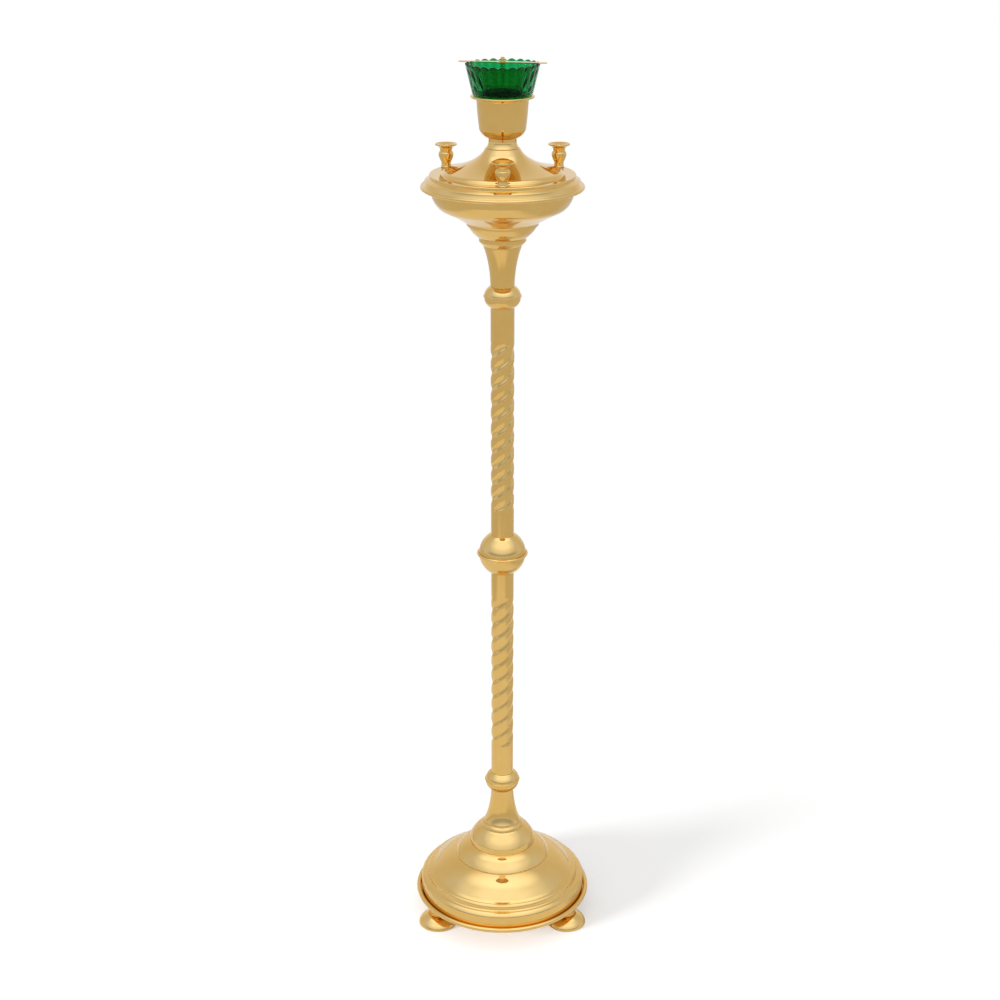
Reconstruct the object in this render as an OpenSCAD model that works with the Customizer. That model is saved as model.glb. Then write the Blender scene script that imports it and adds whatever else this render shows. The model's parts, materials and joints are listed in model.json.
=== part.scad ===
// Free-standing church candle stand in polished brass.
// Spun and turned pieces are strung on one tie rod: a domed base on three feet,
// two spirally fluted tubes with a ball between them, and a drip pan that carries
// three candle sockets round a cup with a fluted lamp glass and its wick bar.
// The floor is z = 0, the column stands on the z axis and the front faces -y.

/* [Feet] */
// Diameter of each foot on the floor
foot_d = 44.6; // [38:0.2:48]
// Height of the foot's dome
foot_dome_h = 14; // [12:0.5:19]
// Bevel between the foot's dome and its flat underside
foot_edge = 1; // [0.4:0.1:2]
// Diameter of the neck that carries the plate
foot_neck_d = 18; // [14:0.5:24]
// Height of the neck above the point where it leaves the dome's top
foot_neck_h = 8; // [4:0.5:10]
// Room between the head of a foot's screw and the inside of the dome's skirt
foot_head_room = 2.65; // [1:0.05:12]
// Diameter of the screw that holds each foot
foot_screw_d = 5; // [4:0.5:6]
// Length of that screw below the plate
foot_screw_len = 12; // [8:0.5:14]
// Room left in the foot under the screw's tip
foot_screw_room = 1; // [0.5:0.1:3]
// Diameter of the foot screw's head
foot_screw_head_d = 8.5; // [7:0.5:10]
// Height of the foot screw's head
foot_screw_head_h = 3; // [2:0.5:5]

/* [Base plate] */
// Diameter of the plate over its rolled rim
plate_d = 200; // [196:1:216]
// Thickness of the plate
plate_t = 1.5; // [1:0.1:2.5]
// Diameter of the rolled bead on the rim
plate_bead_d = 4; // [3.4:0.1:5]
// Diameter of the cast iron ballast disc under the dome
ballast_d = 140; // [100:1:150]
// Height of the ballast disc
ballast_h = 12; // [6:0.5:18]

/* [Base dome] */
// Width of the channel between the plate's bead and the upright skirt
skirt_inset = 2.5; // [1:0.1:5]
// Height of the skirt
skirt_h = 15.5; // [10:0.1:20]
// Sheet thickness of the spun dome
dome_wall = 1.2; // [0.8:0.1:1.6]
// Inward run of the lower bead moulding
low_bead_run = 4; // [2:0.1:6]
// Rise of the lower bead moulding
low_bead_rise = 4.6; // [3:0.1:6]
// Swell of both bead mouldings
bead_swell = 0.6; // [0.3:0.1:1]
// Inward run of the cove between the bead mouldings
cove_run = 3; // [2:0.1:8]
// Rise of the cove between the bead mouldings
cove_rise = 2.9; // [2:0.1:6]
// Hollow of that cove
cove_hollow = 0.6; // [0.3:0.1:1.2]
// Inward run of the upper bead moulding
high_bead_run = 3.5; // [2:0.1:7]
// Rise of the upper bead moulding
high_bead_rise = 3.8; // [2:0.1:5]
// Rise of the main dome up to its ring
dome_rise = 19; // [14:0.1:26]
// Swell of the main dome
dome_swell = 1.6; // [0.2:0.1:3]
// Diameter of the round ring that crowns the main dome
ring_d = 106.4; // [98:0.2:118]
// Upright edge at the foot of the ring
ring_edge = 1.8; // [1:0.1:3]
// Rise of the ring's round above its edge
ring_rise = 13.4; // [8:0.2:18]
// Swell of the ring's round
ring_swell = 1.3; // [0.6:0.1:3]
// Diameter of the upright band above the ring
band_d = 74.4; // [68:0.2:80]
// Height of the upright band
band_h = 6.6; // [4:0.1:9]
// Rise of the hump above the band
hump_rise = 15.4; // [10:0.1:20]
// Swell of the hump
hump_swell = 0.7; // [0.4:0.1:3]
// Width of the hump's flat top around the collar
hump_margin = 0.3; // [0.1:0.1:2]

/* [Base collar and cone] */
// Diameter of the rounded collar on the dome
base_collar_d = 48; // [45:0.2:54]
// Height of that collar
base_collar_h = 4.8; // [3:0.1:8]
// Swell of the collar's rounded edge
base_collar_swell = 0.5; // [0.3:0.1:1.4]
// Width of the collar's flat top around the cone
base_collar_margin = 0.5; // [0.2:0.1:2]
// Diameter of the cone's lower edge
base_cone_d = 41.6; // [36:0.2:43]
// Height of the cone
base_cone_h = 41.8; // [30:0.2:60]
// Height of the upright edges of the cone and of the trumpet
cone_lip = 1.2; // [0.6:0.1:3]
// Height at which the cone's flare turns towards the tube
cone_turn_h = 14; // [8:0.2:24]
// Distance of that turn from the tube's surface
cone_turn_run = 1.7; // [1:0.1:4]
// Wall of the cone and of the trumpet
cone_wall = 1.5; // [1:0.1:2.5]

/* [Knops] */
// Diameter of each knop without its ridge
knop_d = 37.8; // [34:0.2:46]
// Height of each knop between its seats
knop_h = 22; // [18:0.2:30]
// Reach of the ridge round the knop's middle
knop_ridge = 1; // [0.5:0.1:2]
// Height of that ridge
knop_ridge_h = 1.6; // [1:0.1:2.4]
// Wall of the knop's two halves
knop_wall = 2; // [1.2:0.1:3]
// Width of the flat seat around a tube's end
seat_lip = 0.4; // [0.2:0.1:1]

/* [Fluted tubes] */
// Outer diameter of both tubes
tube_d = 25; // [22:0.5:28]
// Wall of the tubes
tube_wall = 2; // [1.6:0.1:3]
// Length of the lower tube
lower_tube_len = 248.8; // [180:0.2:320]
// Length of the upper tube
upper_tube_len = 254; // [180:0.2:320]
// Plain length next to the ball
plain_near_ball = 28; // [15:1:40]
// Plain length next to the knop
plain_near_knop = 36; // [15:1:50]
// Number of spiral grooves
flute_starts = 3; // [2:1:4]
// Height of one full turn of a groove
flute_lead = 53.4; // [45:0.2:80]
// Depth of the grooves
flute_depth = 0.9; // [0.4:0.1:1.2]
// Angle that one groove takes up around the tube
flute_width = 44; // [30:1:60]
// Length over which a groove runs out at each end
flute_runout = 5; // [3:0.5:12]
// Depth of the fluted length under the surface of the plain ends
flute_relief = 0.05; // [0.03:0.01:0.1]
// Turn of the lower tube's grooves about the column
lower_flute_turn = 80; // [0:1:119]
// Turn of the upper tube's grooves about the column
upper_flute_turn = 39; // [0:1:119]
// Length of the bush in each tube end
bush_len = 14; // [8:0.5:20]
// Diameter of the bush's spigot, which centres the next piece
spigot_d = 15.8; // [12:0.2:18]
// Length of the spigot
spigot_len = 1.8; // [1:0.1:1.9]

/* [Middle ball] */
// Diameter of the ball
ball_d = 51; // [42:0.5:60]
// Wall of the ball's halves
ball_wall = 1.8; // [1.2:0.1:2.5]
// Reach of the band's round edge beyond the ball
ball_band_reach = 2.2; // [1.8:0.1:6]
// Thickness of the band between the halves
ball_band_t = 2.2; // [1.5:0.1:3]
// Height of the band's round edge
ball_bead_h = 3.2; // [3.1:0.1:4.5]
// Height of the upright edge of each half on the band
ball_lip = 0.8; // [0.4:0.1:2]

/* [Trumpet and bowl] */
// Height of the trumpet under the bowl
trumpet_h = 43.2; // [30:0.2:60]
// Diameter of the trumpet's upper edge
trumpet_d = 39.6; // [34:0.2:46]
// Height at which the trumpet's flare turns outwards
trumpet_turn_h = 24.2; // [14:0.2:28]
// Distance of that turn from the tube's surface
trumpet_turn_run = 0.6; // [0.2:0.1:3]
// Diameter of the collar under the bowl
bowl_collar_d = 48.6; // [44:0.2:52]
// Height of the collar's sloping part
bowl_collar_slope_h = 4.6; // [2:0.1:7]
// Height of the collar's upright part
bowl_collar_band_h = 3.8; // [2:0.1:6]
// Width of the collar's underside around the trumpet
bowl_collar_margin = 0.5; // [0.2:0.1:2]
// Sheet thickness of the bowl
bowl_wall = 1.2; // [0.8:0.1:1.6]
// Reach of the bell's foot beyond the collar
bell_foot_margin = 0.5; // [0.2:0.1:2]
// Diameter at the top of the bell
bell_top_d = 72; // [66:0.2:78]
// Height of the bell
bell_h = 13; // [9:0.2:18]
// Swell of the bell
bell_swell = 1.1; // [0.4:0.1:2]
// Width of the step between the bell and the bowl
bowl_step = 1; // [0.6:0.1:3]
// Outward run of the cove above the step
bowl_cove_run = 3.5; // [2.4:0.1:6]
// Height of that cove
bowl_cove_h = 4.5; // [2.4:0.1:8]
// Height of the slope between the cove and the shoulder
bowl_slope_h = 10.9; // [7:0.1:16]
// Hollow of that slope
bowl_slope_hollow = 0.4; // [0.1:0.1:1]
// Inward run of the round shoulder from the upright wall
shoulder_run = 11.4; // [8:0.2:16]
// Height of the round shoulder
shoulder_h = 14.4; // [8:0.2:20]
// Height at which the shoulder turns upright
shoulder_turn_h = 3.8; // [2:0.1:7]
// Distance of that turn from the upright wall
shoulder_turn_run = 3.3; // [1:0.1:7]
// Height of the upright wall, most of it inside the pan's rim
bowl_lip_h = 20.7; // [14:0.1:26]
// Room between the upright wall and the heads of the socket screws
bowl_head_room = 0.2; // [0.1:0.05:0.5]
// Width of the flat inner rim that carries the pan
bowl_rim_w = 9; // [8.4:0.1:14]

/* [Drip pan] */
// Diameter of the pan over its rolled rim
pan_d = 167; // [150:0.5:190]
// Sheet thickness of the pan
pan_wall = 1.2; // [0.8:0.1:1.6]
// Diameter of the rolled bead on the pan's rim
pan_bead_d = 3.8; // [3.2:0.1:5]
// Depth of the bead's centre under the socket ledge
pan_rim_drop = 12.8; // [9:0.2:16]
// Inward run from the bead's centre to the ridge between rim and ledge
rim_run = 2.6; // [1.6:0.1:5]
// Hollow between the rim's bead and the ridge
rim_hollow = 0.4; // [0.2:0.1:0.8]
// Depth of that ridge under the ledge
rim_ridge_drop = 6.1; // [5:0.1:7]
// Inward run from the ridge to the ledge's outer edge
ridge_run = 4.6; // [2.4:0.1:6]
// Swell between the ridge and the ledge's edge
ridge_swell = 0.1; // [0.1:0.1:0.8]
// Height of the ledge's upright outer edge
ledge_edge_h = 3.6; // [2.4:0.1:4.4]
// Bevel of the ledge's edges
ledge_bevel = 0.6; // [0.3:0.1:1]
// Width of the ledge outside a socket's foot
ledge_out_margin = 0.7; // [0.6:0.1:3]
// Width of the ledge inside a socket's foot
ledge_in_margin = 0.7; // [0.6:0.1:2]
// Rise of the round step inside the ledge
ledge_step_h = 3.8; // [2:0.1:8]
// Inward run of that step
ledge_step_run = 4.6; // [2:0.1:6]
// Swell of that step
ledge_step_swell = 0.7; // [0.3:0.1:1.2]
// Height of the pan's flat top above the ledge
pan_rise = 26.1; // [20:0.1:34]
// Width of the pan's flat top around the foot of the cup
pan_top_margin = 1.2; // [0.6:0.1:2.4]
// Height above the step at which the pan's slope turns steep
pan_turn_h = 8; // [4:0.2:12]
// Distance of that turn from the flat top's edge
pan_turn_run = 6; // [3:0.2:12]

/* [Candle sockets] */
// Turn of the two side sockets behind the line from left to right
socket_side_turn = 32; // [20:1:45]
// Diameter of the socket's foot
socket_foot_d = 10.8; // [10:0.2:14]
// Height of the foot's upright edge
socket_foot_h = 1.2; // [0.8:0.1:2.4]
// Diameter of the waist above the foot
socket_waist_d = 9.6; // [8.6:0.2:10.4]
// Height of the waist above the foot's edge
socket_waist_h = 4; // [3:0.1:8]
// Diameter of the bulb
socket_bulb_d = 15.2; // [13:0.2:17]
// Height of the bulb between waist and neck
socket_bulb_h = 11.6; // [9.4:0.1:16]
// Height of the bulb's turn above the waist
socket_bulb_turn_h = 8.8; // [4:0.1:9.2]
// Height of the flare between neck and flange
socket_flare_h = 5.9; // [4.4:0.1:8]
// Upright length of that flare at the neck
socket_neck_rise = 4.3; // [2:0.1:5]
// Diameter of the flange round the mouth
socket_flange_d = 22.4; // [18:0.2:26]
// Thickness of the flange's edge
socket_flange_t = 1.4; // [1:0.1:2.4]
// Width of the flange's flat edge around the dish
socket_edge = 0.9; // [0.5:0.1:2]
// Diameter of the hole for the candle
candle_d = 9; // [7:0.1:10]
// Depth of the straight hole for the candle
candle_depth = 12; // [8:0.1:14]
// Wall between the candle's hole and the neck's surface
socket_wall = 1.5; // [1:0.1:2.4]
// Depth of the dish around the hole
socket_dish = 2.2; // [1:0.1:3]
// Diameter of the screw that holds each socket
socket_screw_d = 3; // [2:0.5:4]
// Length of that screw inside the socket
socket_screw_len = 6.5; // [4:0.5:8]
// Room left in the socket above the screw's tip
socket_screw_room = 0.5; // [0.3:0.1:1.5]
// Diameter of the socket screw's head
socket_screw_head_d = 5; // [4.6:0.1:6]
// Height of the socket screw's head
socket_screw_head_h = 2.4; // [1.5:0.1:4]

/* [Lamp cup] */
// Height of the foot under the cup
cup_foot_h = 10; // [7:0.1:18]
// Height of the upright edge at the bottom of that foot
cup_foot_edge = 0.6; // [0.3:0.1:2]
// Reach of the foot's lower edge beyond its neck
cup_foot_reach = 1.8; // [1:0.1:4]
// Height at which the foot's side turns towards the neck
cup_foot_turn_h = 4.5; // [2:0.1:6]
// Depth of that turn behind the neck's surface
cup_foot_hollow = 1; // [0.4:0.1:2]
// Diameter of the neck under the cup
cup_neck_d = 29; // [27:0.2:34]
// Reach of the cup's flat bottom beyond the neck
cup_bottom_margin = 0.3; // [0.1:0.1:1]
// Sheet thickness of the cup
cup_wall = 1.2; // [0.8:0.1:1.6]
// Height of the cup's round bottom
cup_round_h = 11; // [8:0.2:14]
// Height at which the round bottom turns upright
cup_turn_h = 6.6; // [3:0.1:8]
// Distance of that turn from the cup's side
cup_turn_run = 2; // [1:0.1:4]
// Swell of the cup's side
cup_swell = 0.2; // [0.1:0.05:0.6]
// Height of the flare under the flange
cup_flare_h = 6; // [4:0.2:8]
// Outward run of that flare
cup_flare_run = 1.4; // [0.8:0.1:2]
// Diameter of the bead on the flange
cup_bead_d = 2.4; // [1.8:0.1:3]

/* [Lamp glass] */
// Diameter of the glass at its rim
glass_d = 75; // [70:0.5:84]
// Reach of the lowest flutes beyond the shoulder
glass_foot_reach = 1.2; // [0.6:0.1:2.4]
// Height of the lowest flutes above the shoulder
glass_foot_h = 3; // [2:0.1:6]
// Distance of the throat's wall inside the body's surface at the shoulder
glass_throat = 1.4; // [1:0.1:2.4]
// Height of the glass above its shoulder
glass_h = 32; // [24:0.5:44]
// Diameter of the shoulder that rests on the cup
glass_shoulder_d = 58.6; // [57:0.2:64]
// Diameter of the body inside the cup, at the shoulder
glass_plug_d = 47.6; // [42:0.2:48]
// Taper of the body in the cup, from shoulder to bottom
glass_plug_taper = 5.2; // [3:0.2:8]
// Depth of the body inside the cup
glass_plug_h = 26; // [18:0.5:34]
// Wall of the glass
glass_wall = 3; // [2:0.1:4]
// Thickness of the glass floor
glass_floor = 5; // [3:0.5:8]
// Number of flutes, each with one scallop on the rim
glass_flutes = 24; // [16:1:32]
// Depth of the flutes at the rim
glass_flute_depth = 0.8; // [0.3:0.1:1.2]
// Depth of the scallops along the rim
scallop_h = 2.2; // [1:0.1:3.5]

/* [Wick bar] */
// Reach of the strip beyond the rim of the glass at each end
bar_overhang = 7; // [4:0.5:14]
// Width of the strip
bar_w = 7; // [5:0.5:12]
// Thickness of the strip
bar_t = 0.9; // [0.6:0.1:1.5]
// Turn of the strip about the column
bar_turn = -10; // [-60:1:60]
// Diameter of the round eye in the strip's middle
bar_eye_d = 14; // [13:0.5:20]
// Diameter of the wick tube
wick_tube_d = 4.4; // [3:0.1:6]
// Bore of the wick tube
wick_bore_d = 3; // [2:0.1:3.6]
// Length of the wick tube under the strip
wick_tube_drop = 8; // [4:0.5:14]
// Height of the wick tube's nipple above the strip
wick_nipple_h = 4.4; // [2:0.1:8]
// Diameter of the nipple on the strip
wick_nipple_d = 7; // [6.4:0.1:10]
// Height of the nipple's upright edge
wick_nipple_edge = 0.8; // [0.4:0.1:1.6]

/* [Tie rod] */
// Diameter of the tie rod
rod_d = 8; // [6:0.5:10]
// Length of the rod below the nut at the bottom
rod_tail = 3; // [1:0.5:5]
// Length of the rod above the nut in the cup
rod_head = 2; // [1:0.5:3]
// Width of the nuts across their flats
nut_af = 13; // [12:0.5:17]
// Height of the nuts
nut_h = 6.5; // [4:0.5:7]
// Diameter of the washers
washer_d = 24; // [20:1:28]
// Thickness of the washers
washer_t = 1.6; // [1:0.1:2]

/* [Fits] */
// Radial gap between the tie rod and the holes it passes
rod_gap = 0.3; // [0.1:0.05:0.5]
// Radial gap between the rod's thread and its nuts
thread_gap = 0.05; // [0.03:0.01:0.1]
// Radial gap between a bush and its tube, and a spigot and its hole
bush_gap = 0.1; // [0.05:0.05:0.3]
// Radial gap between a screw and its hole
screw_gap = 0.1; // [0.05:0.05:0.3]
// Radial gap between the ball and the round edge of its band
ball_edge_gap = 0.1; // [0.05:0.05:0.3]
// Radial gap between the wick tube and the eye of the strip
wick_gap = 0.05; // [0.03:0.01:0.1]
// Radial gap between the glass and the cup around it
cup_gap = 1.2; // [0.6:0.1:2]
// Radial gap between the shoulder of the glass and the bead around it
shoulder_gap = 0.5; // [0.3:0.1:1]
// Gap between the tie rod's end and the bottom of the glass
rod_end_gap = 4.2; // [1:0.1:8]
// Gap between the strip and the highest points of the rim
bar_gap = 0.2; // [0.1:0.05:0.4]

/* [Hidden] */

// Directions of the three feet and of the three candle sockets about the axis
foot_left_turn = 210;
foot_right_turn = 330;
foot_rear_turn = 90;
socket_front_turn = 270;
socket_left_turn = 180 - socket_side_turn;
socket_right_turn = socket_side_turn;

// Smoothness of round pieces and number of steps along a curved profile
round_fn = 96;
curve_steps = 7;
// Points around one groove period, twist between two slices, points across one scallop
flute_points = 12;
slice_twist = 18;
scallop_points = 6;
// Small overlap that joins solids of one piece
weld = 0.01;

brass = [0.85, 0.70, 0.38];
steel = [0.62, 0.63, 0.65];
iron = [0.25, 0.25, 0.26];
green_glass = [0.02, 0.38, 0.14, 0.75];

rod_hole_r = rod_d / 2 + rod_gap;
tube_r = tube_d / 2;
seat_r = tube_r + seat_lip;
spigot_hole_r = spigot_d / 2 + bush_gap;

// Radii of the dome's skirt and of the feet, which stand just inside it
skirt_r = plate_d / 2 - plate_bead_d - skirt_inset;
foot_circle_r = skirt_r - dome_wall - foot_head_room - foot_screw_head_d / 2;

// Radii across the pan, from its rim inwards, and of the pieces that stand on its top
pan_bead_r = (pan_d - pan_bead_d) / 2;
rim_ridge_r = pan_bead_r - rim_run;
ledge_out_r = rim_ridge_r - ridge_run;
socket_circle_r = ledge_out_r - ledge_out_margin - socket_foot_d / 2;
ledge_in_r = socket_circle_r - socket_foot_d / 2 - ledge_in_margin;
bowl_wall_r = socket_circle_r + socket_screw_head_d / 2 + bowl_head_room + bowl_wall;
cup_foot_r = cup_neck_d / 2 + cup_foot_reach;
glass_bottom_r = (glass_plug_d - glass_plug_taper) / 2;

// Heights of the seats, each piece standing on the one below it
plate_z = foot_dome_h + foot_neck_h;
dome_z = plate_z + plate_t;
ogee_rise = low_bead_rise + cove_rise + high_bead_rise;
dome_h = skirt_h + ogee_rise + dome_rise + ring_edge + ring_rise + band_h + hump_rise;
base_collar_z = dome_z + dome_h;
base_cone_z = base_collar_z + base_collar_h;
lower_knop_z = base_cone_z + base_cone_h;
lower_tube_z = lower_knop_z + knop_h;
ball_r = ball_d / 2;
ball_half_h = sqrt(ball_r * ball_r - seat_r * seat_r);
ball_z = lower_tube_z + lower_tube_len;
ball_middle_z = ball_z + ball_half_h;
upper_tube_z = ball_middle_z + ball_half_h;
upper_knop_z = upper_tube_z + upper_tube_len;
trumpet_z = upper_knop_z + knop_h;
bowl_collar_z = trumpet_z + trumpet_h;
bowl_collar_h = bowl_collar_slope_h + bowl_collar_band_h;
bowl_z = bowl_collar_z + bowl_collar_h;
bowl_h = bell_h + bowl_cove_h + bowl_slope_h + shoulder_h + bowl_lip_h;
pan_z = bowl_z + bowl_h;
ledge_z = pan_z + pan_wall;
cup_foot_z = ledge_z + pan_rise;
cup_z = cup_foot_z + cup_foot_h;
cup_h = cup_wall + washer_t + nut_h + rod_head + rod_end_gap + glass_plug_h;
glass_z = cup_z + cup_h;
bar_z = glass_z + glass_h + bar_gap;
base_nut_z = plate_z - washer_t - nut_h;
cup_washer_z = cup_z + cup_wall;
cup_nut_z = cup_washer_z + washer_t;

// Profiles run from the bottom to the top with the outer face on their right.

function unit(v) = v / norm(v);
function right_of(v) = [v[1], -v[0]];
function reversed(list) = [for (i = [len(list) - 1:-1:0]) list[i]];

// Quadratic curve from p to q, pulled towards c; the end point is left to the next stretch.
function curve(p, c, q, n = curve_steps) =
    [for (i = [0:n - 1]) let (t = i / n) (1 - t) * (1 - t) * p + 2 * t * (1 - t) * c + t * t * q];

// Curve from p to q that swells by sag to the right, or hollows if sag is negative.
function bow(p, q, sag, n = curve_steps) =
    curve(p, (p + q) / 2 + 2 * sag * right_of(unit(q - p)), q, n);

// Part of an ellipse about the axis, from angle a to angle b above the horizontal.
function oval(rx, rz, a, b, n = curve_steps) =
    [for (i = [0:n]) let (t = a + (b - a) * i / n) [rx * cos(t), rz * sin(t)]];

// The profile moved to its left by the wall, and the closed outline of a sheet that thick.
function inset(profile, wall) =
    let (last = len(profile) - 1)
    [for (i = [0:last])
        profile[i] - wall * right_of(unit(profile[min(i + 1, last)] - profile[max(i - 1, 0)]))];
function sheet(profile, wall) = concat(profile, reversed(inset(profile, wall)));

module turned(outline) {
    rotate_extrude($fn = round_fn) polygon(outline);
}

module bead(middle_r, bead_d) {
    rotate_extrude($fn = round_fn) translate([middle_r, 0]) circle(d = bead_d, $fn = round_fn);
}

module around(turn, radius) {
    rotate([0, 0, turn]) translate([radius, 0, 0]) children();
}

module ring(outer_d, hole_d, height) {
    difference() {
        cylinder(d = outer_d, h = height, $fn = round_fn);
        translate([0, 0, -weld]) cylinder(d = hole_d, h = height + 2 * weld, $fn = round_fn);
    }
}

// Closed solid through rings of equally many points, outer face first, ending on two centres.
module lofted(rings, first_centre, last_centre) {
    count = len(rings[0]);
    last = len(rings) - 1;
    first_index = count * len(rings);
    walls = [for (k = [0:last - 1], i = [0:count - 1])
        let (j = (i + 1) % count, a = k * count, b = a + count)
        each [[a + i, b + j, a + j], [a + i, b + i, b + j]]];
    ends = [for (i = [0:count - 1])
        let (j = (i + 1) % count, b = last * count)
        each [[first_index, i, j], [first_index + 1, b + j, b + i]]];
    polyhedron(concat([for (r = rings) each r], [first_centre, last_centre]), concat(walls, ends));
}

// Feet and base

module foot(turn) {
    foot_r = foot_d / 2;
    neck_r = foot_neck_d / 2;
    hole_r = foot_screw_d / 2 + screw_gap;
    hole_z = plate_z - foot_screw_len - foot_screw_room;
    floor_angle = asin(foot_edge / foot_dome_h);
    dome = oval(foot_r, foot_dome_h, floor_angle, acos(neck_r / foot_r));
    outline = concat(
        [[0, 0], [foot_r - foot_edge, 0]],
        dome,
        [[neck_r, plate_z], [hole_r, plate_z], [hole_r, hole_z], [0, hole_z]]);
    color(brass) around(turn, foot_circle_r) turned(outline);
}

module foot_left() foot(foot_left_turn);
module foot_right() foot(foot_right_turn);
module foot_rear() foot(foot_rear_turn);

module foot_screws() {
    color(steel) for (turn = [foot_left_turn, foot_right_turn, foot_rear_turn])
        around(turn, foot_circle_r) {
            translate([0, 0, plate_z - foot_screw_len])
                cylinder(d = foot_screw_d, h = foot_screw_len + plate_t + weld, $fn = round_fn);
            translate([0, 0, dome_z])
                cylinder(d = foot_screw_head_d, h = foot_screw_head_h, $fn = round_fn);
        }
}

module base_plate() {
    bead_middle_r = (plate_d - plate_bead_d) / 2;
    color(brass) difference() {
        translate([0, 0, plate_z]) union() {
            cylinder(r = bead_middle_r, h = plate_t, $fn = round_fn);
            translate([0, 0, plate_bead_d / 2 + plate_t / 2]) bead(bead_middle_r, plate_bead_d);
        }
        cylinder(r = rod_hole_r, h = dome_z + weld, $fn = round_fn);
        for (turn = [foot_left_turn, foot_right_turn, foot_rear_turn])
            around(turn, foot_circle_r)
                cylinder(r = foot_screw_d / 2 + screw_gap, h = dome_z + weld, $fn = round_fn);
    }
}

module base_ballast() {
    color(iron) translate([0, 0, dome_z]) ring(ballast_d, 2 * rod_hole_r, ballast_h);
}

module base_dome() {
    skirt_top = [skirt_r, skirt_h];
    cove_foot = skirt_top + [-low_bead_run, low_bead_rise];
    cove_top = cove_foot + [-cove_run, cove_rise];
    dome_foot = cove_top + [-high_bead_run, high_bead_rise];
    ring_foot = [ring_d / 2, dome_foot[1] + dome_rise];
    ring_shoulder = ring_foot + [0, ring_edge];
    band_foot = [band_d / 2, ring_shoulder[1] + ring_rise];
    band_top = band_foot + [0, band_h];
    hump_top = [base_collar_d / 2 + hump_margin, band_top[1] + hump_rise];
    profile = concat(
        [[skirt_r, 0]],
        bow(skirt_top, cove_foot, bead_swell),
        bow(cove_foot, cove_top, -cove_hollow),
        bow(cove_top, dome_foot, bead_swell),
        bow(dome_foot, ring_foot, dome_swell),
        [ring_foot],
        bow(ring_shoulder, band_foot, ring_swell),
        [band_foot],
        bow(band_top, hump_top, hump_swell),
        [hump_top, [rod_hole_r, hump_top[1]]]);
    color(brass) translate([0, 0, dome_z]) turned(sheet(profile, dome_wall));
}

module base_collar() {
    foot = [base_collar_d / 2, 0];
    top = [base_cone_d / 2 + base_collar_margin, base_collar_h];
    outline = concat(
        [[rod_hole_r, 0]],
        bow(foot, top, base_collar_swell),
        [top, [rod_hole_r, base_collar_h]]);
    color(brass) translate([0, 0, base_collar_z]) turned(outline);
}

module base_cone() {
    foot_r = base_cone_d / 2;
    top = [tube_r, base_cone_h];
    profile = concat(
        [[foot_r, 0]],
        curve([foot_r, cone_lip], [tube_r + cone_turn_run, cone_turn_h], top, 2 * curve_steps),
        [top, [rod_hole_r, base_cone_h]]);
    color(brass) translate([0, 0, base_cone_z]) turned(sheet(profile, cone_wall));
}

// Tie rod with its nuts and washers

module nut(z) {
    color(steel) translate([0, 0, z]) difference() {
        cylinder(d = nut_af / cos(30), h = nut_h, $fn = 6);
        translate([0, 0, -weld])
            cylinder(r = rod_d / 2 + thread_gap, h = nut_h + 2 * weld, $fn = round_fn);
    }
}

module washer(z) {
    color(steel) translate([0, 0, z]) ring(washer_d, 2 * rod_hole_r, washer_t);
}

module base_washer() washer(plate_z - washer_t);
module base_nut() nut(base_nut_z);
module cup_washer() washer(cup_washer_z);
module cup_nut() nut(cup_nut_z);

module tie_rod() {
    bottom = base_nut_z - rod_tail;
    top = cup_nut_z + nut_h + rod_head;
    color(steel) translate([0, 0, bottom]) cylinder(d = rod_d, h = top - bottom, $fn = round_fn);
}

// Column

// Half of a knop, standing on its middle, with the given hole in its flat end.
module knop_half(hole_r) {
    body_r = knop_d / 2;
    half_h = knop_h / 2;
    oval_h = (half_h - knop_ridge_h) / sqrt(1 - pow(seat_r / body_r, 2));
    profile = concat(
        [[body_r, 0]],
        [for (p = oval(body_r, oval_h, 0, acos(seat_r / body_r))) p + [0, knop_ridge_h]],
        [[hole_r, half_h]]);
    turned(sheet(profile, knop_wall));
}

module knop_top(z, hole_r) {
    color(brass) translate([0, 0, z + knop_h / 2]) {
        knop_half(hole_r);
        ring(knop_d + 2 * knop_ridge, knop_d - knop_wall, knop_ridge_h);
    }
}

module knop_bottom(z, hole_r) {
    color(brass) translate([0, 0, z + knop_h / 2]) mirror([0, 0, 1]) knop_half(hole_r);
}

module lower_knop_bottom() knop_bottom(lower_knop_z, rod_hole_r);
module lower_knop_top() knop_top(lower_knop_z, spigot_hole_r);
module upper_knop_bottom() knop_bottom(upper_knop_z, spigot_hole_r);
module upper_knop_top() knop_top(upper_knop_z, rod_hole_r);

// Depth of the grooves around the section, and how it fades out towards the plain ends.
function groove(angle) =
    let (period = 360 / flute_starts, off = abs((angle % period + period) % period - period / 2))
    off < flute_width / 2 ? (1 + cos(360 * off / flute_width)) / 2 : 0;
function fade(z, length) = min(1, z / flute_runout, (length - z) / flute_runout);
function flute_ring(z, length, start_turn) =
    let (count = flute_points * flute_starts, land_r = tube_r - flute_relief)
    [for (i = [0:count - 1])
        let (a = 360 * i / count, turn = a + start_turn + 360 * z / flute_lead)
        let (r = land_r - flute_depth * groove(a) * fade(z, length))
        [r * cos(turn), r * sin(turn), z]];

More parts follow.
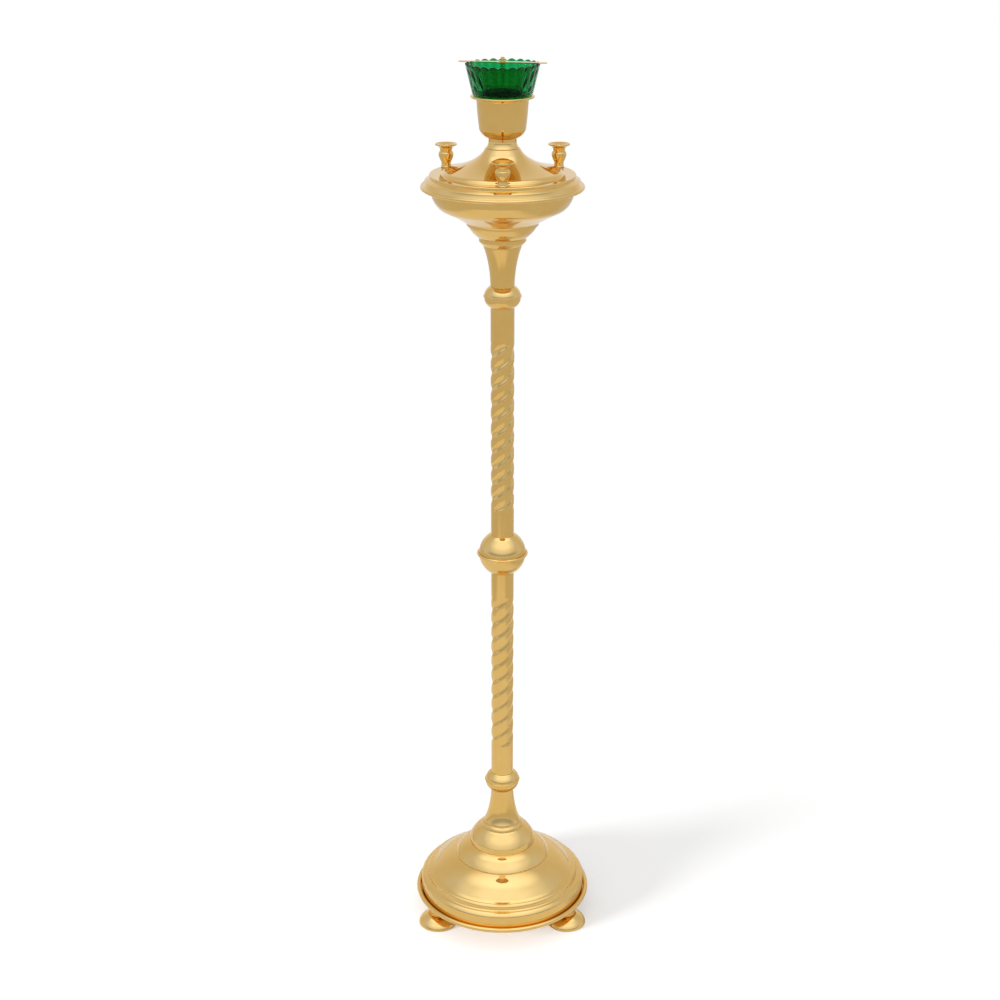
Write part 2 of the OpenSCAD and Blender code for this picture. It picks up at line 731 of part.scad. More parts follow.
// Tube with plain ends; the grooves climb to the right as seen from outside.
module fluted_tube(z, tube_len, plain_bottom, plain_top, start_turn) {
    length = tube_len - plain_bottom - plain_top + 2 * weld;
    slices = ceil(360 * length / flute_lead / slice_twist);
    rings = [for (k = [0:slices]) flute_ring(length * k / slices, length, start_turn)];
    color(brass) translate([0, 0, z]) difference() {
        union() {
            cylinder(r = tube_r, h = plain_bottom, $fn = round_fn);
            translate([0, 0, plain_bottom - weld]) lofted(rings, [0, 0, 0], [0, 0, length]);
            translate([0, 0, tube_len - plain_top])
                cylinder(r = tube_r, h = plain_top, $fn = round_fn);
        }
        translate([0, 0, -weld])
            cylinder(r = tube_r - tube_wall, h = tube_len + 2 * weld, $fn = round_fn);
    }
}

module lower_tube()
    fluted_tube(lower_tube_z, lower_tube_len, plain_near_knop, plain_near_ball, lower_flute_turn);
module upper_tube()
    fluted_tube(upper_tube_z, upper_tube_len, plain_near_ball, plain_near_knop, upper_flute_turn);

// Bush flush with a tube's end, its spigot pointing out of the tube along the given side.
module bush(end_z, side) {
    body_r = tube_r - tube_wall - bush_gap;
    outline = [[rod_hole_r, -bush_len], [body_r, -bush_len], [body_r, 0], [spigot_d / 2, 0],
        [spigot_d / 2, spigot_len], [rod_hole_r, spigot_len]];
    color(brass) translate([0, 0, end_z]) mirror([0, 0, side > 0 ? 0 : 1]) turned(outline);
}

module lower_tube_foot_bush() bush(lower_tube_z, -1);
module lower_tube_head_bush() bush(ball_z, 1);
module upper_tube_foot_bush() bush(upper_tube_z, -1);
module upper_tube_head_bush() bush(upper_knop_z, 1);

// Upper half of the ball, standing on the band's face.
module ball_half() {
    rim_z = ball_band_t / 2;
    first = asin((rim_z + ball_lip) / ball_r);
    profile = concat(
        [[ball_r * cos(first), rim_z]],
        oval(ball_r, ball_r, first, acos(seat_r / ball_r), 2 * curve_steps),
        [[spigot_hole_r, ball_half_h]]);
    turned(sheet(profile, ball_wall));
}

module ball_top() {
    color(brass) translate([0, 0, ball_middle_z]) ball_half();
}

module ball_bottom() {
    color(brass) translate([0, 0, ball_middle_z]) mirror([0, 0, 1]) ball_half();
}

module ball_band() {
    edge_r = ball_r + ball_band_reach - ball_bead_h / 2;
    color(brass) translate([0, 0, ball_middle_z]) {
        translate([0, 0, -ball_band_t / 2]) ring(2 * edge_r, 2 * rod_hole_r, ball_band_t);
        difference() {
            bead(edge_r, ball_bead_h);
            translate([0, 0, -ball_bead_h])
                cylinder(r = ball_r + ball_edge_gap, h = 2 * ball_bead_h, $fn = round_fn);
        }
    }
}

module trumpet() {
    top = [trumpet_d / 2, trumpet_h];
    flare_top = top - [0, cone_lip];
    turn = [tube_r + trumpet_turn_run, trumpet_turn_h];
    profile = concat([[rod_hole_r, 0]], curve([tube_r, 0], turn, flare_top), [flare_top, top]);
    color(brass) translate([0, 0, trumpet_z]) turned(sheet(profile, cone_wall));
}

// Bowl and drip pan

// Holes for the three socket screws through a sheet of the given thickness, upwards from z = 0.
module socket_screw_holes(wall) {
    for (turn = [socket_front_turn, socket_left_turn, socket_right_turn])
        around(turn, socket_circle_r) translate([0, 0, -weld])
            cylinder(r = socket_screw_d / 2 + screw_gap, h = wall + 2 * weld, $fn = round_fn);
}

module bowl_collar() {
    collar_r = bowl_collar_d / 2;
    outline = [
        [rod_hole_r, 0],
        [trumpet_d / 2 + bowl_collar_margin, 0],
        [collar_r, bowl_collar_slope_h],
        [collar_r, bowl_collar_h],
        [rod_hole_r, bowl_collar_h]];
    color(brass) translate([0, 0, bowl_collar_z]) turned(outline);
}

module bowl() {
    bell_foot = [bowl_collar_d / 2 + bell_foot_margin, 0];
    bell_top = [bell_top_d / 2, bell_h];
    cove_foot = bell_top + [bowl_step, 0];
    cove_top = cove_foot + [bowl_cove_run, bowl_cove_h];
    shoulder = [bowl_wall_r - shoulder_run, cove_top[1] + bowl_slope_h];
    wall_foot = [bowl_wall_r, shoulder[1] + shoulder_h];
    shoulder_turn = [bowl_wall_r - shoulder_turn_run, shoulder[1] + shoulder_turn_h];
    profile = concat(
        [[rod_hole_r, 0]],
        bow(bell_foot, bell_top, bell_swell),
        [bell_top],
        curve(cove_foot, [cove_foot[0], cove_top[1]], cove_top),
        bow(cove_top, shoulder, -bowl_slope_hollow),
        curve(shoulder, shoulder_turn, wall_foot),
        [wall_foot, [bowl_wall_r, bowl_h]]);
    color(brass) translate([0, 0, bowl_z]) difference() {
        union() {
            turned(sheet(profile, bowl_wall));
            translate([0, 0, bowl_h - bowl_wall])
                ring(2 * bowl_wall_r, 2 * (bowl_wall_r - bowl_rim_w), bowl_wall);
        }
        translate([0, 0, bowl_h - bowl_wall]) socket_screw_holes(bowl_wall);
    }
}

module drip_pan() {
    rim = [pan_bead_r, pan_wall - pan_rim_drop];
    rim_ridge = [rim_ridge_r, pan_wall - rim_ridge_drop];
    ledge_out = [ledge_out_r, pan_wall];
    ledge_in = [ledge_in_r, pan_wall];
    step_top = ledge_in + [-ledge_step_run, ledge_step_h];
    top = [cup_foot_r + pan_top_margin, pan_wall + pan_rise];
    turn = [top[0] + pan_turn_run, step_top[1] + pan_turn_h];
    ledge_foot = ledge_out - [0, ledge_edge_h];
    profile = concat(
        bow(rim, rim_ridge, -rim_hollow),
        bow(rim_ridge, ledge_foot, ridge_swell),
        [ledge_foot, ledge_out - [0, ledge_bevel], ledge_out - [ledge_bevel, 0]],
        bow(ledge_in, step_top, ledge_step_swell),
        curve(step_top, turn, top, 2 * curve_steps),
        [top, [rod_hole_r, top[1]]]);
    color(brass) difference() {
        translate([0, 0, pan_z]) union() {
            turned(sheet(profile, pan_wall));
            translate([0, 0, rim[1]]) bead(pan_bead_r, pan_bead_d);
        }
        translate([0, 0, pan_z]) socket_screw_holes(pan_wall);
    }
}

// Candle sockets

module socket(turn) {
    foot = [socket_foot_d / 2, socket_foot_h];
    waist = [socket_waist_d / 2, foot[1] + socket_waist_h];
    candle_r = candle_d / 2;
    neck = [candle_r + socket_wall, waist[1] + socket_bulb_h];
    bulb_turn = [socket_bulb_d - (neck[0] + waist[0]) / 2, waist[1] + socket_bulb_turn_h];
    flange = [socket_flange_d / 2, neck[1] + socket_flare_h];
    top_z = flange[1] + socket_flange_t;
    mouth_z = top_z - socket_dish;
    bore_z = mouth_z - candle_depth;
    screw_r = socket_screw_d / 2 + screw_gap;
    screw_z = socket_screw_len + socket_screw_room;
    outline = concat(
        [[screw_r, 0], [foot[0], 0]],
        curve(foot, [waist[0], foot[1]], waist),
        curve(waist, bulb_turn, neck, 2 * curve_steps),
        curve(neck, neck + [0, socket_neck_rise], flange),
        [flange, [flange[0], top_z], [flange[0] - socket_edge, top_z], [candle_r, mouth_z],
            [candle_r, bore_z], [0, bore_z], [0, screw_z], [screw_r, screw_z]]);
    color(brass) around(turn, socket_circle_r) translate([0, 0, ledge_z]) turned(outline);
}

module socket_front() socket(socket_front_turn);
module socket_left() socket(socket_left_turn);
module socket_right() socket(socket_right_turn);

module socket_screws() {
    clamped = bowl_wall + pan_wall;
    color(steel) for (turn = [socket_front_turn, socket_left_turn, socket_right_turn])
        around(turn, socket_circle_r) translate([0, 0, ledge_z - clamped]) {
            translate([0, 0, -weld])
                cylinder(d = socket_screw_d, h = clamped + socket_screw_len + weld, $fn = round_fn);
            translate([0, 0, -socket_screw_head_h])
                cylinder(d = socket_screw_head_d, h = socket_screw_head_h, $fn = round_fn);
        }
}

// Lamp cup, glass and wick bar

module cup_foot() {
    neck = [cup_neck_d / 2, cup_foot_h];
    turn = [neck[0] - cup_foot_hollow, cup_foot_turn_h];
    outline = concat(
        [[rod_hole_r, 0], [cup_foot_r, 0]],
        curve([cup_foot_r, cup_foot_edge], turn, neck),
        [neck, [rod_hole_r, cup_foot_h]]);
    color(brass) translate([0, 0, cup_foot_z]) turned(outline);
}

module lamp_cup() {
    foot = [cup_neck_d / 2 + cup_bottom_margin, 0];
    wall_low = [glass_bottom_r + cup_gap + cup_wall, cup_round_h];
    flange_z = cup_h - cup_wall;
    wall_top = [glass_plug_d / 2 + cup_gap + cup_wall, flange_z - cup_flare_h];
    flange_in = [wall_top[0] + cup_flare_run, flange_z];
    bead_r = glass_shoulder_d / 2 + shoulder_gap + cup_bead_d / 2;
    profile = concat(
        [[rod_hole_r, 0]],
        curve(foot, [wall_low[0] - cup_turn_run, cup_turn_h], wall_low),
        bow(wall_low, wall_top, cup_swell),
        curve(wall_top, [wall_top[0], flange_z], flange_in),
        [flange_in, [bead_r, flange_z]]);
    color(brass) translate([0, 0, cup_z]) {
        turned(sheet(profile, cup_wall));
        translate([0, 0, cup_h - cup_wall / 2]) bead(bead_r, cup_bead_d);
    }
}

// One ring of points: radius and height, swelling and rising with the flutes by given amounts.
function lobe(i) = abs(cos(180 * i / scallop_points));
function glass_ring(r, z, swell, rise) =
    let (count = glass_flutes * scallop_points)
    [for (i = [0:count - 1]) let (a = 360 * i / count, s = r - swell * (1 - lobe(i)))
        [s * cos(a), s * sin(a), z - rise * (1 - lobe(i))]];

// The glass is lofted through rings from the middle of its underside over the rim to its floor.
module lamp_glass() {
    rim_r = glass_d / 2;
    shoulder_r = glass_shoulder_d / 2;
    plug_r = glass_plug_d / 2;
    foot_r = shoulder_r + glass_foot_reach;
    high_z = glass_h - 2 * scallop_h;
    high_r = foot_r + (rim_r - foot_r) * (high_z - glass_foot_h) / (glass_h - glass_foot_h);
    floor_z = glass_floor - glass_plug_h;
    rings = [
        glass_ring(glass_bottom_r, -glass_plug_h, 0, 0),
        glass_ring(plug_r, 0, 0, 0),
        glass_ring(shoulder_r, 0, 0, 0),
        glass_ring(foot_r, glass_foot_h, glass_flute_depth / 2, 0),
        glass_ring(high_r, high_z, glass_flute_depth, 0),
        glass_ring(rim_r, glass_h, glass_flute_depth, scallop_h),
        glass_ring(rim_r - glass_wall, glass_h, 0, scallop_h),
        glass_ring(plug_r - glass_throat, glass_foot_h, 0, 0),
        glass_ring(glass_bottom_r - glass_wall, floor_z, 0, 0)];
    color(green_glass) translate([0, 0, glass_z])
        lofted(rings, [0, 0, -glass_plug_h], [0, 0, floor_z]);
}

module wick_bar() {
    reach = glass_d / 2 + bar_overhang - bar_w / 2;
    color(brass) translate([0, 0, bar_z]) rotate([0, 0, bar_turn]) difference() {
        union() {
            translate([-reach, -bar_w / 2, 0]) cube([2 * reach, bar_w, bar_t]);
            for (side = [-1, 1])
                translate([side * reach, 0, 0]) cylinder(d = bar_w, h = bar_t, $fn = round_fn);
            cylinder(d = bar_eye_d, h = bar_t, $fn = round_fn);
        }
        translate([0, 0, -weld])
            cylinder(r = wick_tube_d / 2 + wick_gap, h = bar_t + 2 * weld, $fn = round_fn);
    }
}

module wick_tube() {
    tube_top = bar_t + wick_nipple_h;
    bore_r = wick_bore_d / 2;
    outline = [[bore_r, -wick_tube_drop], [wick_tube_d / 2, -wick_tube_drop],
        [wick_tube_d / 2, bar_t], [wick_nipple_d / 2, bar_t], [wick_nipple_d / 2, bar_t + wick_nipple_edge],
        [wick_tube_d / 2, tube_top], [bore_r, tube_top]];
    color(brass) translate([0, 0, bar_z]) turned(outline);
}

foot_left();
foot_right();
foot_rear();
foot_screws();
base_plate();
base_ballast();
base_dome();
base_collar();
base_cone();
base_washer();
base_nut();
tie_rod();
lower_knop_bottom();
lower_knop_top();
lower_tube();
lower_tube_foot_bush();
lower_tube_head_bush();
ball_bottom();
ball_band();
ball_top();
upper_tube();
upper_tube_foot_bush();
upper_tube_head_bush();
upper_knop_bottom();
upper_knop_top();
trumpet();
bowl_collar();
bowl();
drip_pan();
socket_front();
socket_left();
socket_right();
socket_screws();
cup_foot();
lamp_cup();
cup_washer();
cup_nut();
lamp_glass();
wick_bar();
wick_tube();
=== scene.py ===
"""Brass church candle stand with a green lamp glass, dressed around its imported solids.

Sizes are in millimetres in the classes of pieces, and in metres in meshes, finishes and the studio.
The front faces -Y.
"""
import json
import logging
import math
from dataclasses import dataclass, field
from enum import Enum
from functools import reduce
from typing import Any, Iterable, Optional, Sequence

import bpy
import numpy as np
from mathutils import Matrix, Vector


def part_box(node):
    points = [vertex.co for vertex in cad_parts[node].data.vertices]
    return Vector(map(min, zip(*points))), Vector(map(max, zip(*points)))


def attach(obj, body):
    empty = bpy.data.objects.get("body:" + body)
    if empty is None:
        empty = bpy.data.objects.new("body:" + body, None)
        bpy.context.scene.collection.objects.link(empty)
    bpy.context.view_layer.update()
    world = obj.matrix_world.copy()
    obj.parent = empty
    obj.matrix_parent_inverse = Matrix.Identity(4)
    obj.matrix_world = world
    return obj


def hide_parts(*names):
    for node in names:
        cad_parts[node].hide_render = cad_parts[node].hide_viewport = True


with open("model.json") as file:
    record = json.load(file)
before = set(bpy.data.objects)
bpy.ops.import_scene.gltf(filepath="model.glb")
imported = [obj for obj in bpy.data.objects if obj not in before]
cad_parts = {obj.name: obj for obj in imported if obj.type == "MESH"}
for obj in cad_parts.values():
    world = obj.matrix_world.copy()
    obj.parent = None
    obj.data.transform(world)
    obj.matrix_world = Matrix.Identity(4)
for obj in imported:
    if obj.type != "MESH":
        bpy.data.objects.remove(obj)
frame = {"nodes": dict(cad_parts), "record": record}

LOG = logging.getLogger("candle_stand")
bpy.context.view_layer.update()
MM = 0.001
FULL_TURN = 2 * math.pi

# Least distances that count, then how beads are met and corners are rounded.
SAME_SPOT = 1e-4
AXIS_R = 1e-6
NO_LENGTH = 1e-12
BEAD_CLEARANCE = 1.02
ROUND_SHARE = 0.42
ROUND_STEPS = (0.2, 0.4, 0.6, 0.8)

Point = tuple[float, float]
Triple = tuple[float, float, float]
Outline = Sequence[np.ndarray]
Points = list[np.ndarray]
Socket = bpy.types.NodeSocket
Material = bpy.types.Material
Piece = bpy.types.Object
WHITE: Triple = (1.0, 1.0, 1.0)


class Slot(Enum):
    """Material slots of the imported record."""

    BRASS = "gilt_brass"
    GLASS = "green_glass"


class Body(Enum):
    """Bodies that the pieces ride on."""

    STAND = "stand"
    GLASS = "glass"
    WICK = "wick_holder"


# Node trees


class NodeSketch:
    """Adds nodes to a shader or geometry tree and links them in one step."""

    def __init__(self, tree: bpy.types.NodeTree) -> None:
        """Takes the tree that the nodes go into."""
        self.tree = tree

    def fill(self, node: bpy.types.Node, inputs: dict[Any, Any]) -> None:
        """Sets or links a node's inputs, given by name or index."""
        for key, value in inputs.items():
            if isinstance(value, Socket):
                self.tree.links.new(value, node.inputs[key])
            else:
                node.inputs[key].default_value = value

    def add(self, kind: str, inputs: Optional[dict[Any, Any]] = None, **settings: Any) -> bpy.types.Node:
        """Adds one node.

        Args:
            kind: Blender's name for the type of node.
            inputs: values or sockets for the node's inputs, by name or index.
            settings: properties of the node itself.

        Returns:
            The new node.
        """
        node = self.tree.nodes.new(kind)
        for name, value in settings.items():
            setattr(node, name, value)
        self.fill(node, inputs or {})
        return node

    def math(self, operation: str, *values: Any) -> Socket:
        """Returns the result of a Math node on numbers or sockets."""
        return self.add("ShaderNodeMath", dict(enumerate(values)), operation=operation).outputs[0]

    def vector(self, operation: str, *values: Any) -> bpy.types.Node:
        """Adds and returns a Vector Math node on vectors or sockets."""
        return self.add("ShaderNodeVectorMath", dict(enumerate(values)), operation=operation)

    def product(self, *values: Any) -> Socket:
        """Returns the product of numbers or sockets."""
        return reduce(lambda first, second: self.math("MULTIPLY", first, second), values)

    def weigh(self, first: Any, first_share: Any, second: Any, second_share: Any) -> Socket:
        """Returns the sum of two values, each times its share."""
        return self.math("ADD", self.product(first, first_share), self.product(second, second_share))

    def spread(self, value: Any, low: float, high: float, out_low: float, out_high: float) -> Socket:
        """Maps a value smoothly from one range onto another.

        Args:
            value: the number or socket that is mapped.
            low: start of the range that is read.
            high: end of the range that is read.
            out_low: result at the start.
            out_high: result at the end.

        Returns:
            The result's socket.
        """
        limits = {0: value, 1: low, 2: high, 3: out_low, 4: out_high}
        return self.add("ShaderNodeMapRange", limits, interpolation_type="SMOOTHSTEP").outputs[0]

    def noise(self, place: Socket, scale: float, detail: float, rough: float = 0.5) -> Socket:
        """Returns soft noise on the given coordinates."""
        return self.add("ShaderNodeTexNoise", {
            "Vector": place, "Scale": scale, "Detail": detail, "Roughness": rough}).outputs[0]

    def stretch(self, place: Socket, scale: Triple) -> Socket:
        """Returns the coordinates times a scale along each axis."""
        return self.add("ShaderNodeMapping", {"Vector": place, "Scale": scale}).outputs[0]

    def bump(self, height: Socket, strength: float, distance: float,
             more: Optional[dict[str, Socket]] = None) -> Socket:
        """Returns the normal of a bumpy surface, with more inputs of the Bump node where given."""
        inputs = {"Strength": strength, "Distance": distance, "Height": height, **(more or {})}
        return self.add("ShaderNodeBump", inputs).outputs[0]

    def choose(self, share: Any, first: Any, second: Any) -> Socket:
        """Returns a value between two numbers or sockets, by the share of the second."""
        # Sockets of the Mix node share their names, so they are given by index, here and in blend.
        return self.add("ShaderNodeMix", {0: share, 2: first, 3: second}, data_type="FLOAT").outputs[0]

    def blend(self, share: Any, first: Triple, second: Triple) -> Socket:
        """Returns a mix of two colours, by the share of the second."""
        inputs = {0: share, 6: (*first, 1), 7: (*second, 1)}
        return self.add("ShaderNodeMix", inputs, data_type="RGBA").outputs[2]


# Finishes


def new_material(name: str) -> tuple[Material, NodeSketch, bpy.types.Node]:
    """Starts a material and returns it with a sketch of its tree and its Principled shader."""
    material = bpy.data.materials.new(name)
    material.use_nodes = True
    sketch = NodeSketch(material.node_tree)
    return material, sketch, material.node_tree.nodes["Principled BSDF"]


@dataclass(frozen=True)
class PolishedBrass:
    """Polished, lacquered brass: faint lines from the polishing mop, soft clouds in the lacquer."""

    name: str
    turned: bool = True
    bright: Triple = (0.84, 0.545, 0.175)
    warm: Triple = (0.82, 0.52, 0.155)
    smooth: float = 0.04
    dull: float = 0.09
    turned_lines: Triple = (3.0, 2600.0, 1.0)
    strip_lines: Triple = (60.0, 2600.0, 60.0)
    line_share: float = 0.3
    line_bump: float = 0.012
    line_height: float = 0.0002
    cloud_scale: float = 38.0
    cloud_span: Point = (0.35, 0.65)
    haze_span: Point = (0.3, 0.7)
    wave_scale: float = 26.0
    wave_height: float = 0.0002
    lacquer: float = 0.12

    def material(self) -> Material:
        """Makes the material; turned pieces carry their lines around their own axis."""
        material, sketch, shader = new_material(self.name)
        given = sketch.add("ShaderNodeTexCoord").outputs
        place = given["Object"]
        grain = (given["UV"], self.turned_lines) if self.turned else (place, self.strip_lines)
        lines = sketch.noise(sketch.stretch(*grain), scale=1.0, detail=2.0)
        clouds = sketch.noise(place, self.cloud_scale, detail=5.0, rough=0.6)
        waves = sketch.noise(place, self.wave_scale, detail=0.0)
        haze = sketch.weigh(clouds, 1 - self.line_share, lines, self.line_share)
        hand = sketch.bump(waves, strength=1.0, distance=self.wave_height)
        bump = sketch.bump(lines, self.line_bump, self.line_height, {"Normal": hand})
        warmth = sketch.spread(clouds, *self.cloud_span, 0.0, 1.0)
        sketch.fill(shader, {
            "Base Color": sketch.blend(warmth, self.bright, self.warm),
            "Roughness": sketch.spread(haze, *self.haze_span, self.smooth, self.dull), "Normal": bump,
            "Metallic": 1.0, "Coat Weight": self.lacquer, "Coat Roughness": self.smooth})
        return material


@dataclass(frozen=True)
class PlatedSteel:
    """Zinc plated steel with a fine crystalline bloom."""

    name: str = "zinc_plated_steel"
    light: Triple = (0.56, 0.57, 0.59)
    grey: Triple = (0.44, 0.46, 0.50)
    smooth: float = 0.26
    dull: float = 0.42
    bloom_scale: float = 420.0
    bloom_share: float = 0.4
    bloom_span: Point = (0.3, 0.7)
    cloud_scale: float = 90.0

    def material(self) -> Material:
        """Makes the material from cells and clouds on the piece's own coordinates."""
        material, sketch, shader = new_material(self.name)
        place = sketch.add("ShaderNodeTexCoord").outputs["Object"]
        cells = sketch.add("ShaderNodeTexVoronoi", {"Vector": place, "Scale": self.bloom_scale}).outputs
        clouds = sketch.noise(place, self.cloud_scale, detail=4.0)
        bloom = sketch.weigh(cells["Color"], self.bloom_share, clouds, 1 - self.bloom_share)
        greyness = sketch.spread(bloom, *self.bloom_span, 0.0, 1.0)
        sketch.fill(shader, {
            "Base Color": sketch.blend(greyness, self.light, self.grey),
            "Roughness": sketch.spread(bloom, *self.bloom_span, self.smooth, self.dull), "Metallic": 1.0})
        return material


@dataclass(frozen=True)
class CastIron:
    """Raw cast iron with a sandy skin."""

    name: str = "raw_cast_iron"
    dark: Triple = (0.028, 0.028, 0.030)
    pale: Triple = (0.060, 0.056, 0.052)
    grain_scale: float = 700.0
    grain_height: float = 0.0004
    grain_bump: float = 0.5
    pale_span: Point = (0.35, 0.65)
    rough_span: Point = (0.3, 0.7)
    rough: Point = (0.5, 0.75)
    metal: float = 0.6

    def material(self) -> Material:
        """Makes the material with the moulding sand's grain as bump."""
        material, sketch, shader = new_material(self.name)
        place = sketch.add("ShaderNodeTexCoord").outputs["Object"]
        sand = sketch.noise(place, self.grain_scale, detail=3.0)
        sketch.fill(shader, {
            "Base Color": sketch.blend(sketch.spread(sand, *self.pale_span, 0.0, 1.0), self.dark, self.pale),
            "Roughness": sketch.spread(sand, *self.rough_span, *self.rough),
            "Normal": sketch.bump(sand, self.grain_bump, self.grain_height), "Metallic": self.metal})
        return material


@dataclass(frozen=True)
class GreenGlass:
    """Deep green pressed glass with faint waves and denser streaks, and painted light: lighter in the hollows of
    its flutes, where the thinner wall lets more light through.
    """

    name: str = "deep_green_glass"
    clear: Triple = (0.001, 0.35, 0.085)
    dense: Triple = (0.001, 0.25, 0.05)
    gleam: Triple = (0.12, 0.40, 0.18)
    smooth: float = 0.0
    wavy: float = 0.02
    wave_scale: float = 160.0
    wave_span: Point = (0.3, 0.7)
    streak_scale: float = 60.0
    streak_stretch: Triple = (1.0, 1.0, 0.3)
    streak_share: float = 0.6
    # Painted light: how much lighter the glass is painted in the hollows of its flutes.
    painted_hollow_share: float = 0.5
    density_span: Point = (-0.1, 0.4)
    refraction: float = 1.5
    painted_hollow_light: str = "painted_hollow_light"

    def material(self) -> Material:
        """Makes the material from streaks and small waves on the piece's own coordinates."""
        material, sketch, shader = new_material(self.name)
        place = sketch.add("ShaderNodeTexCoord").outputs["Object"]
        waves = sketch.noise(place, self.wave_scale, detail=2.0)
        drawn = sketch.stretch(place, self.streak_stretch)
        streaks = sketch.noise(drawn, self.streak_scale, detail=3.0)
        # Painted light: the tint is made lighter in the flute hollows, standing for more light through the thinner
        # wall.
        hollow = sketch.add("ShaderNodeAttribute", attribute_name=self.painted_hollow_light).outputs["Fac"]
        streaked = sketch.weigh(streaks, self.streak_share, hollow, -self.painted_hollow_share)
        density = sketch.spread(streaked, *self.density_span, 0.0, 1.0)
        sketch.fill(shader, {
            "Base Color": sketch.blend(density, self.clear, self.dense),
            "Roughness": sketch.spread(waves, *self.wave_span, self.smooth, self.wavy),
            "Transmission Weight": 1.0, "IOR": self.refraction, "Specular Tint": (*self.gleam, 1)})
        return material


@dataclass
class Finishes:
    """The materials of the whole stand."""

    turned_brass: Material = field(default_factory=PolishedBrass("polished_brass").material)
    flat_brass: Material = field(
        default_factory=PolishedBrass("polished_brass_strip", turned=False).material)
    steel: Material = field(default_factory=PlatedSteel().material)
    iron: Material = field(default_factory=CastIron().material)
    glass: Material = field(default_factory=GreenGlass().material)


# Profiles of turned pieces


def unit(vector: np.ndarray) -> np.ndarray:
    """Returns the vector at length one."""
    return vector / np.linalg.norm(vector)


def right_of(vector: np.ndarray) -> np.ndarray:
    """Returns the vector turned to its right."""
    return np.array([vector[1], -vector[0]])


def pulled(start: np.ndarray, pull: np.ndarray, stop: np.ndarray, shares: Iterable[float]) -> Points:
    """Returns points on the curve from start to stop that is pulled towards a third point.

    Args:
        start: where the curve starts.
        pull: the point that pulls it.
        stop: where it ends.
        shares: how far along the curve the points lie.

    Returns:
        The points in order.
    """
    return [(1 - t) ** 2 * start + 2 * t * (1 - t) * pull + t * t * stop for t in shares]


class Profile:
    """Half section drawn from the bottom to the top, with the outer face on its right.

    The fine line makes the faces that show, the coarse one the inner wall of a sheet.
    """

    FINE = 22
    COARSE = 7

    def __init__(self, radius: float, height: float) -> None:
        """Starts the line at the given radius and height."""
        self.fine = [np.array([radius, height], float)]
        self.coarse = list(self.fine)

    def line(self, *ends: Point) -> "Profile":
        """Goes on in straight stretches and returns the profile."""
        for end in ends:
            self.fine.append(np.array(end, float))
            self.coarse.append(np.array(end, float))
        return self

    def curve(self, turn: Point, end: Point) -> "Profile":
        """Goes on in a curve pulled towards a turning point and returns the profile."""
        start, pull, stop = self.fine[-1], np.array(turn, float), np.array(end, float)
        for steps, points in ((self.FINE, self.fine), (self.COARSE, self.coarse)):
            points += pulled(start, pull, stop, np.linspace(0, 1, steps + 1)[1:])
        return self

    def bow(self, end: Point, sag: float) -> "Profile":
        """Goes on in a curve that swells to the right, or hollows if sag is negative."""
        start, stop = self.fine[-1], np.array(end, float)
        return self.curve((start + stop) / 2 + 2 * sag * right_of(unit(stop - start)), end)

    def oval(self, radius: float, height: float, first: float, last: float, base: float = 0.0) -> "Profile":
        """Goes on along an ellipse about the axis.

        Args:
            radius: half width of the ellipse.
            height: half height of the ellipse.
            first: angle above the horizontal where it starts.
            last: angle where it ends.
            base: height of the ellipse's middle.

        Returns:
            The profile itself.
        """
        for steps, points in ((2 * self.FINE, self.fine), (self.COARSE, self.coarse)):
            for angle in np.linspace(first, last, steps + 1):
                points.append(np.array([radius * math.cos(angle), base + height * math.sin(angle)]))
        return self

    def inner(self, wall: float) -> Points:
        """Returns the inner wall of a sheet, from the top back to the bottom."""
        last = len(self.coarse) - 1
        moved = []
        for i, point in enumerate(self.coarse):
            along = self.coarse[min(i + 1, last)] - self.coarse[max(i - 1, 0)]
            moved.append(point - wall * right_of(unit(along)))
        return moved[::-1]

    def sheet(self, wall: float) -> Points:
        """Returns the closed outline of a sheet with the given wall."""
        return self.fine + self.inner(wall)


def arc(centre: Point, radius: float, first: float, last: float, steps: int = 48) -> Points:
    """Returns points on a circle.

    Args:
        centre: the circle's middle.
        radius: the circle's radius.
        first: angle where the points start.
        last: angle where they end.
        steps: number of stretches.

    Returns:
        The points, both ends among them.
    """
    return [np.array([centre[0] + radius * math.cos(a), centre[1] + radius * math.sin(a)])
            for a in np.linspace(first, last, steps + 1)]


def beaded(before: Outline, after: Outline, centre: Point, radius: float) -> Points:
    """Joins two lines that end in a rolled bead by the bead's outside.

    Args:
        before: line that runs into the bead.
        after: line that leaves the bead.
        centre: the bead's middle.
        radius: the bead's radius.

    Returns:
        The line before, the bead and the line after, without the points inside the bead.
    """
    def clear(points: Outline) -> Points:
        """Keeps the points outside the bead."""
        return [p for p in points if np.linalg.norm(p - centre) > radius * BEAD_CLEARANCE]

    first, last = clear(before), clear(after)
    start = math.atan2(*(first[-1] - centre)[::-1])
    stop = math.atan2(*(last[0] - centre)[::-1])
    while stop < start:
        stop += FULL_TURN
    return first + arc(centre, radius, start, stop) + last


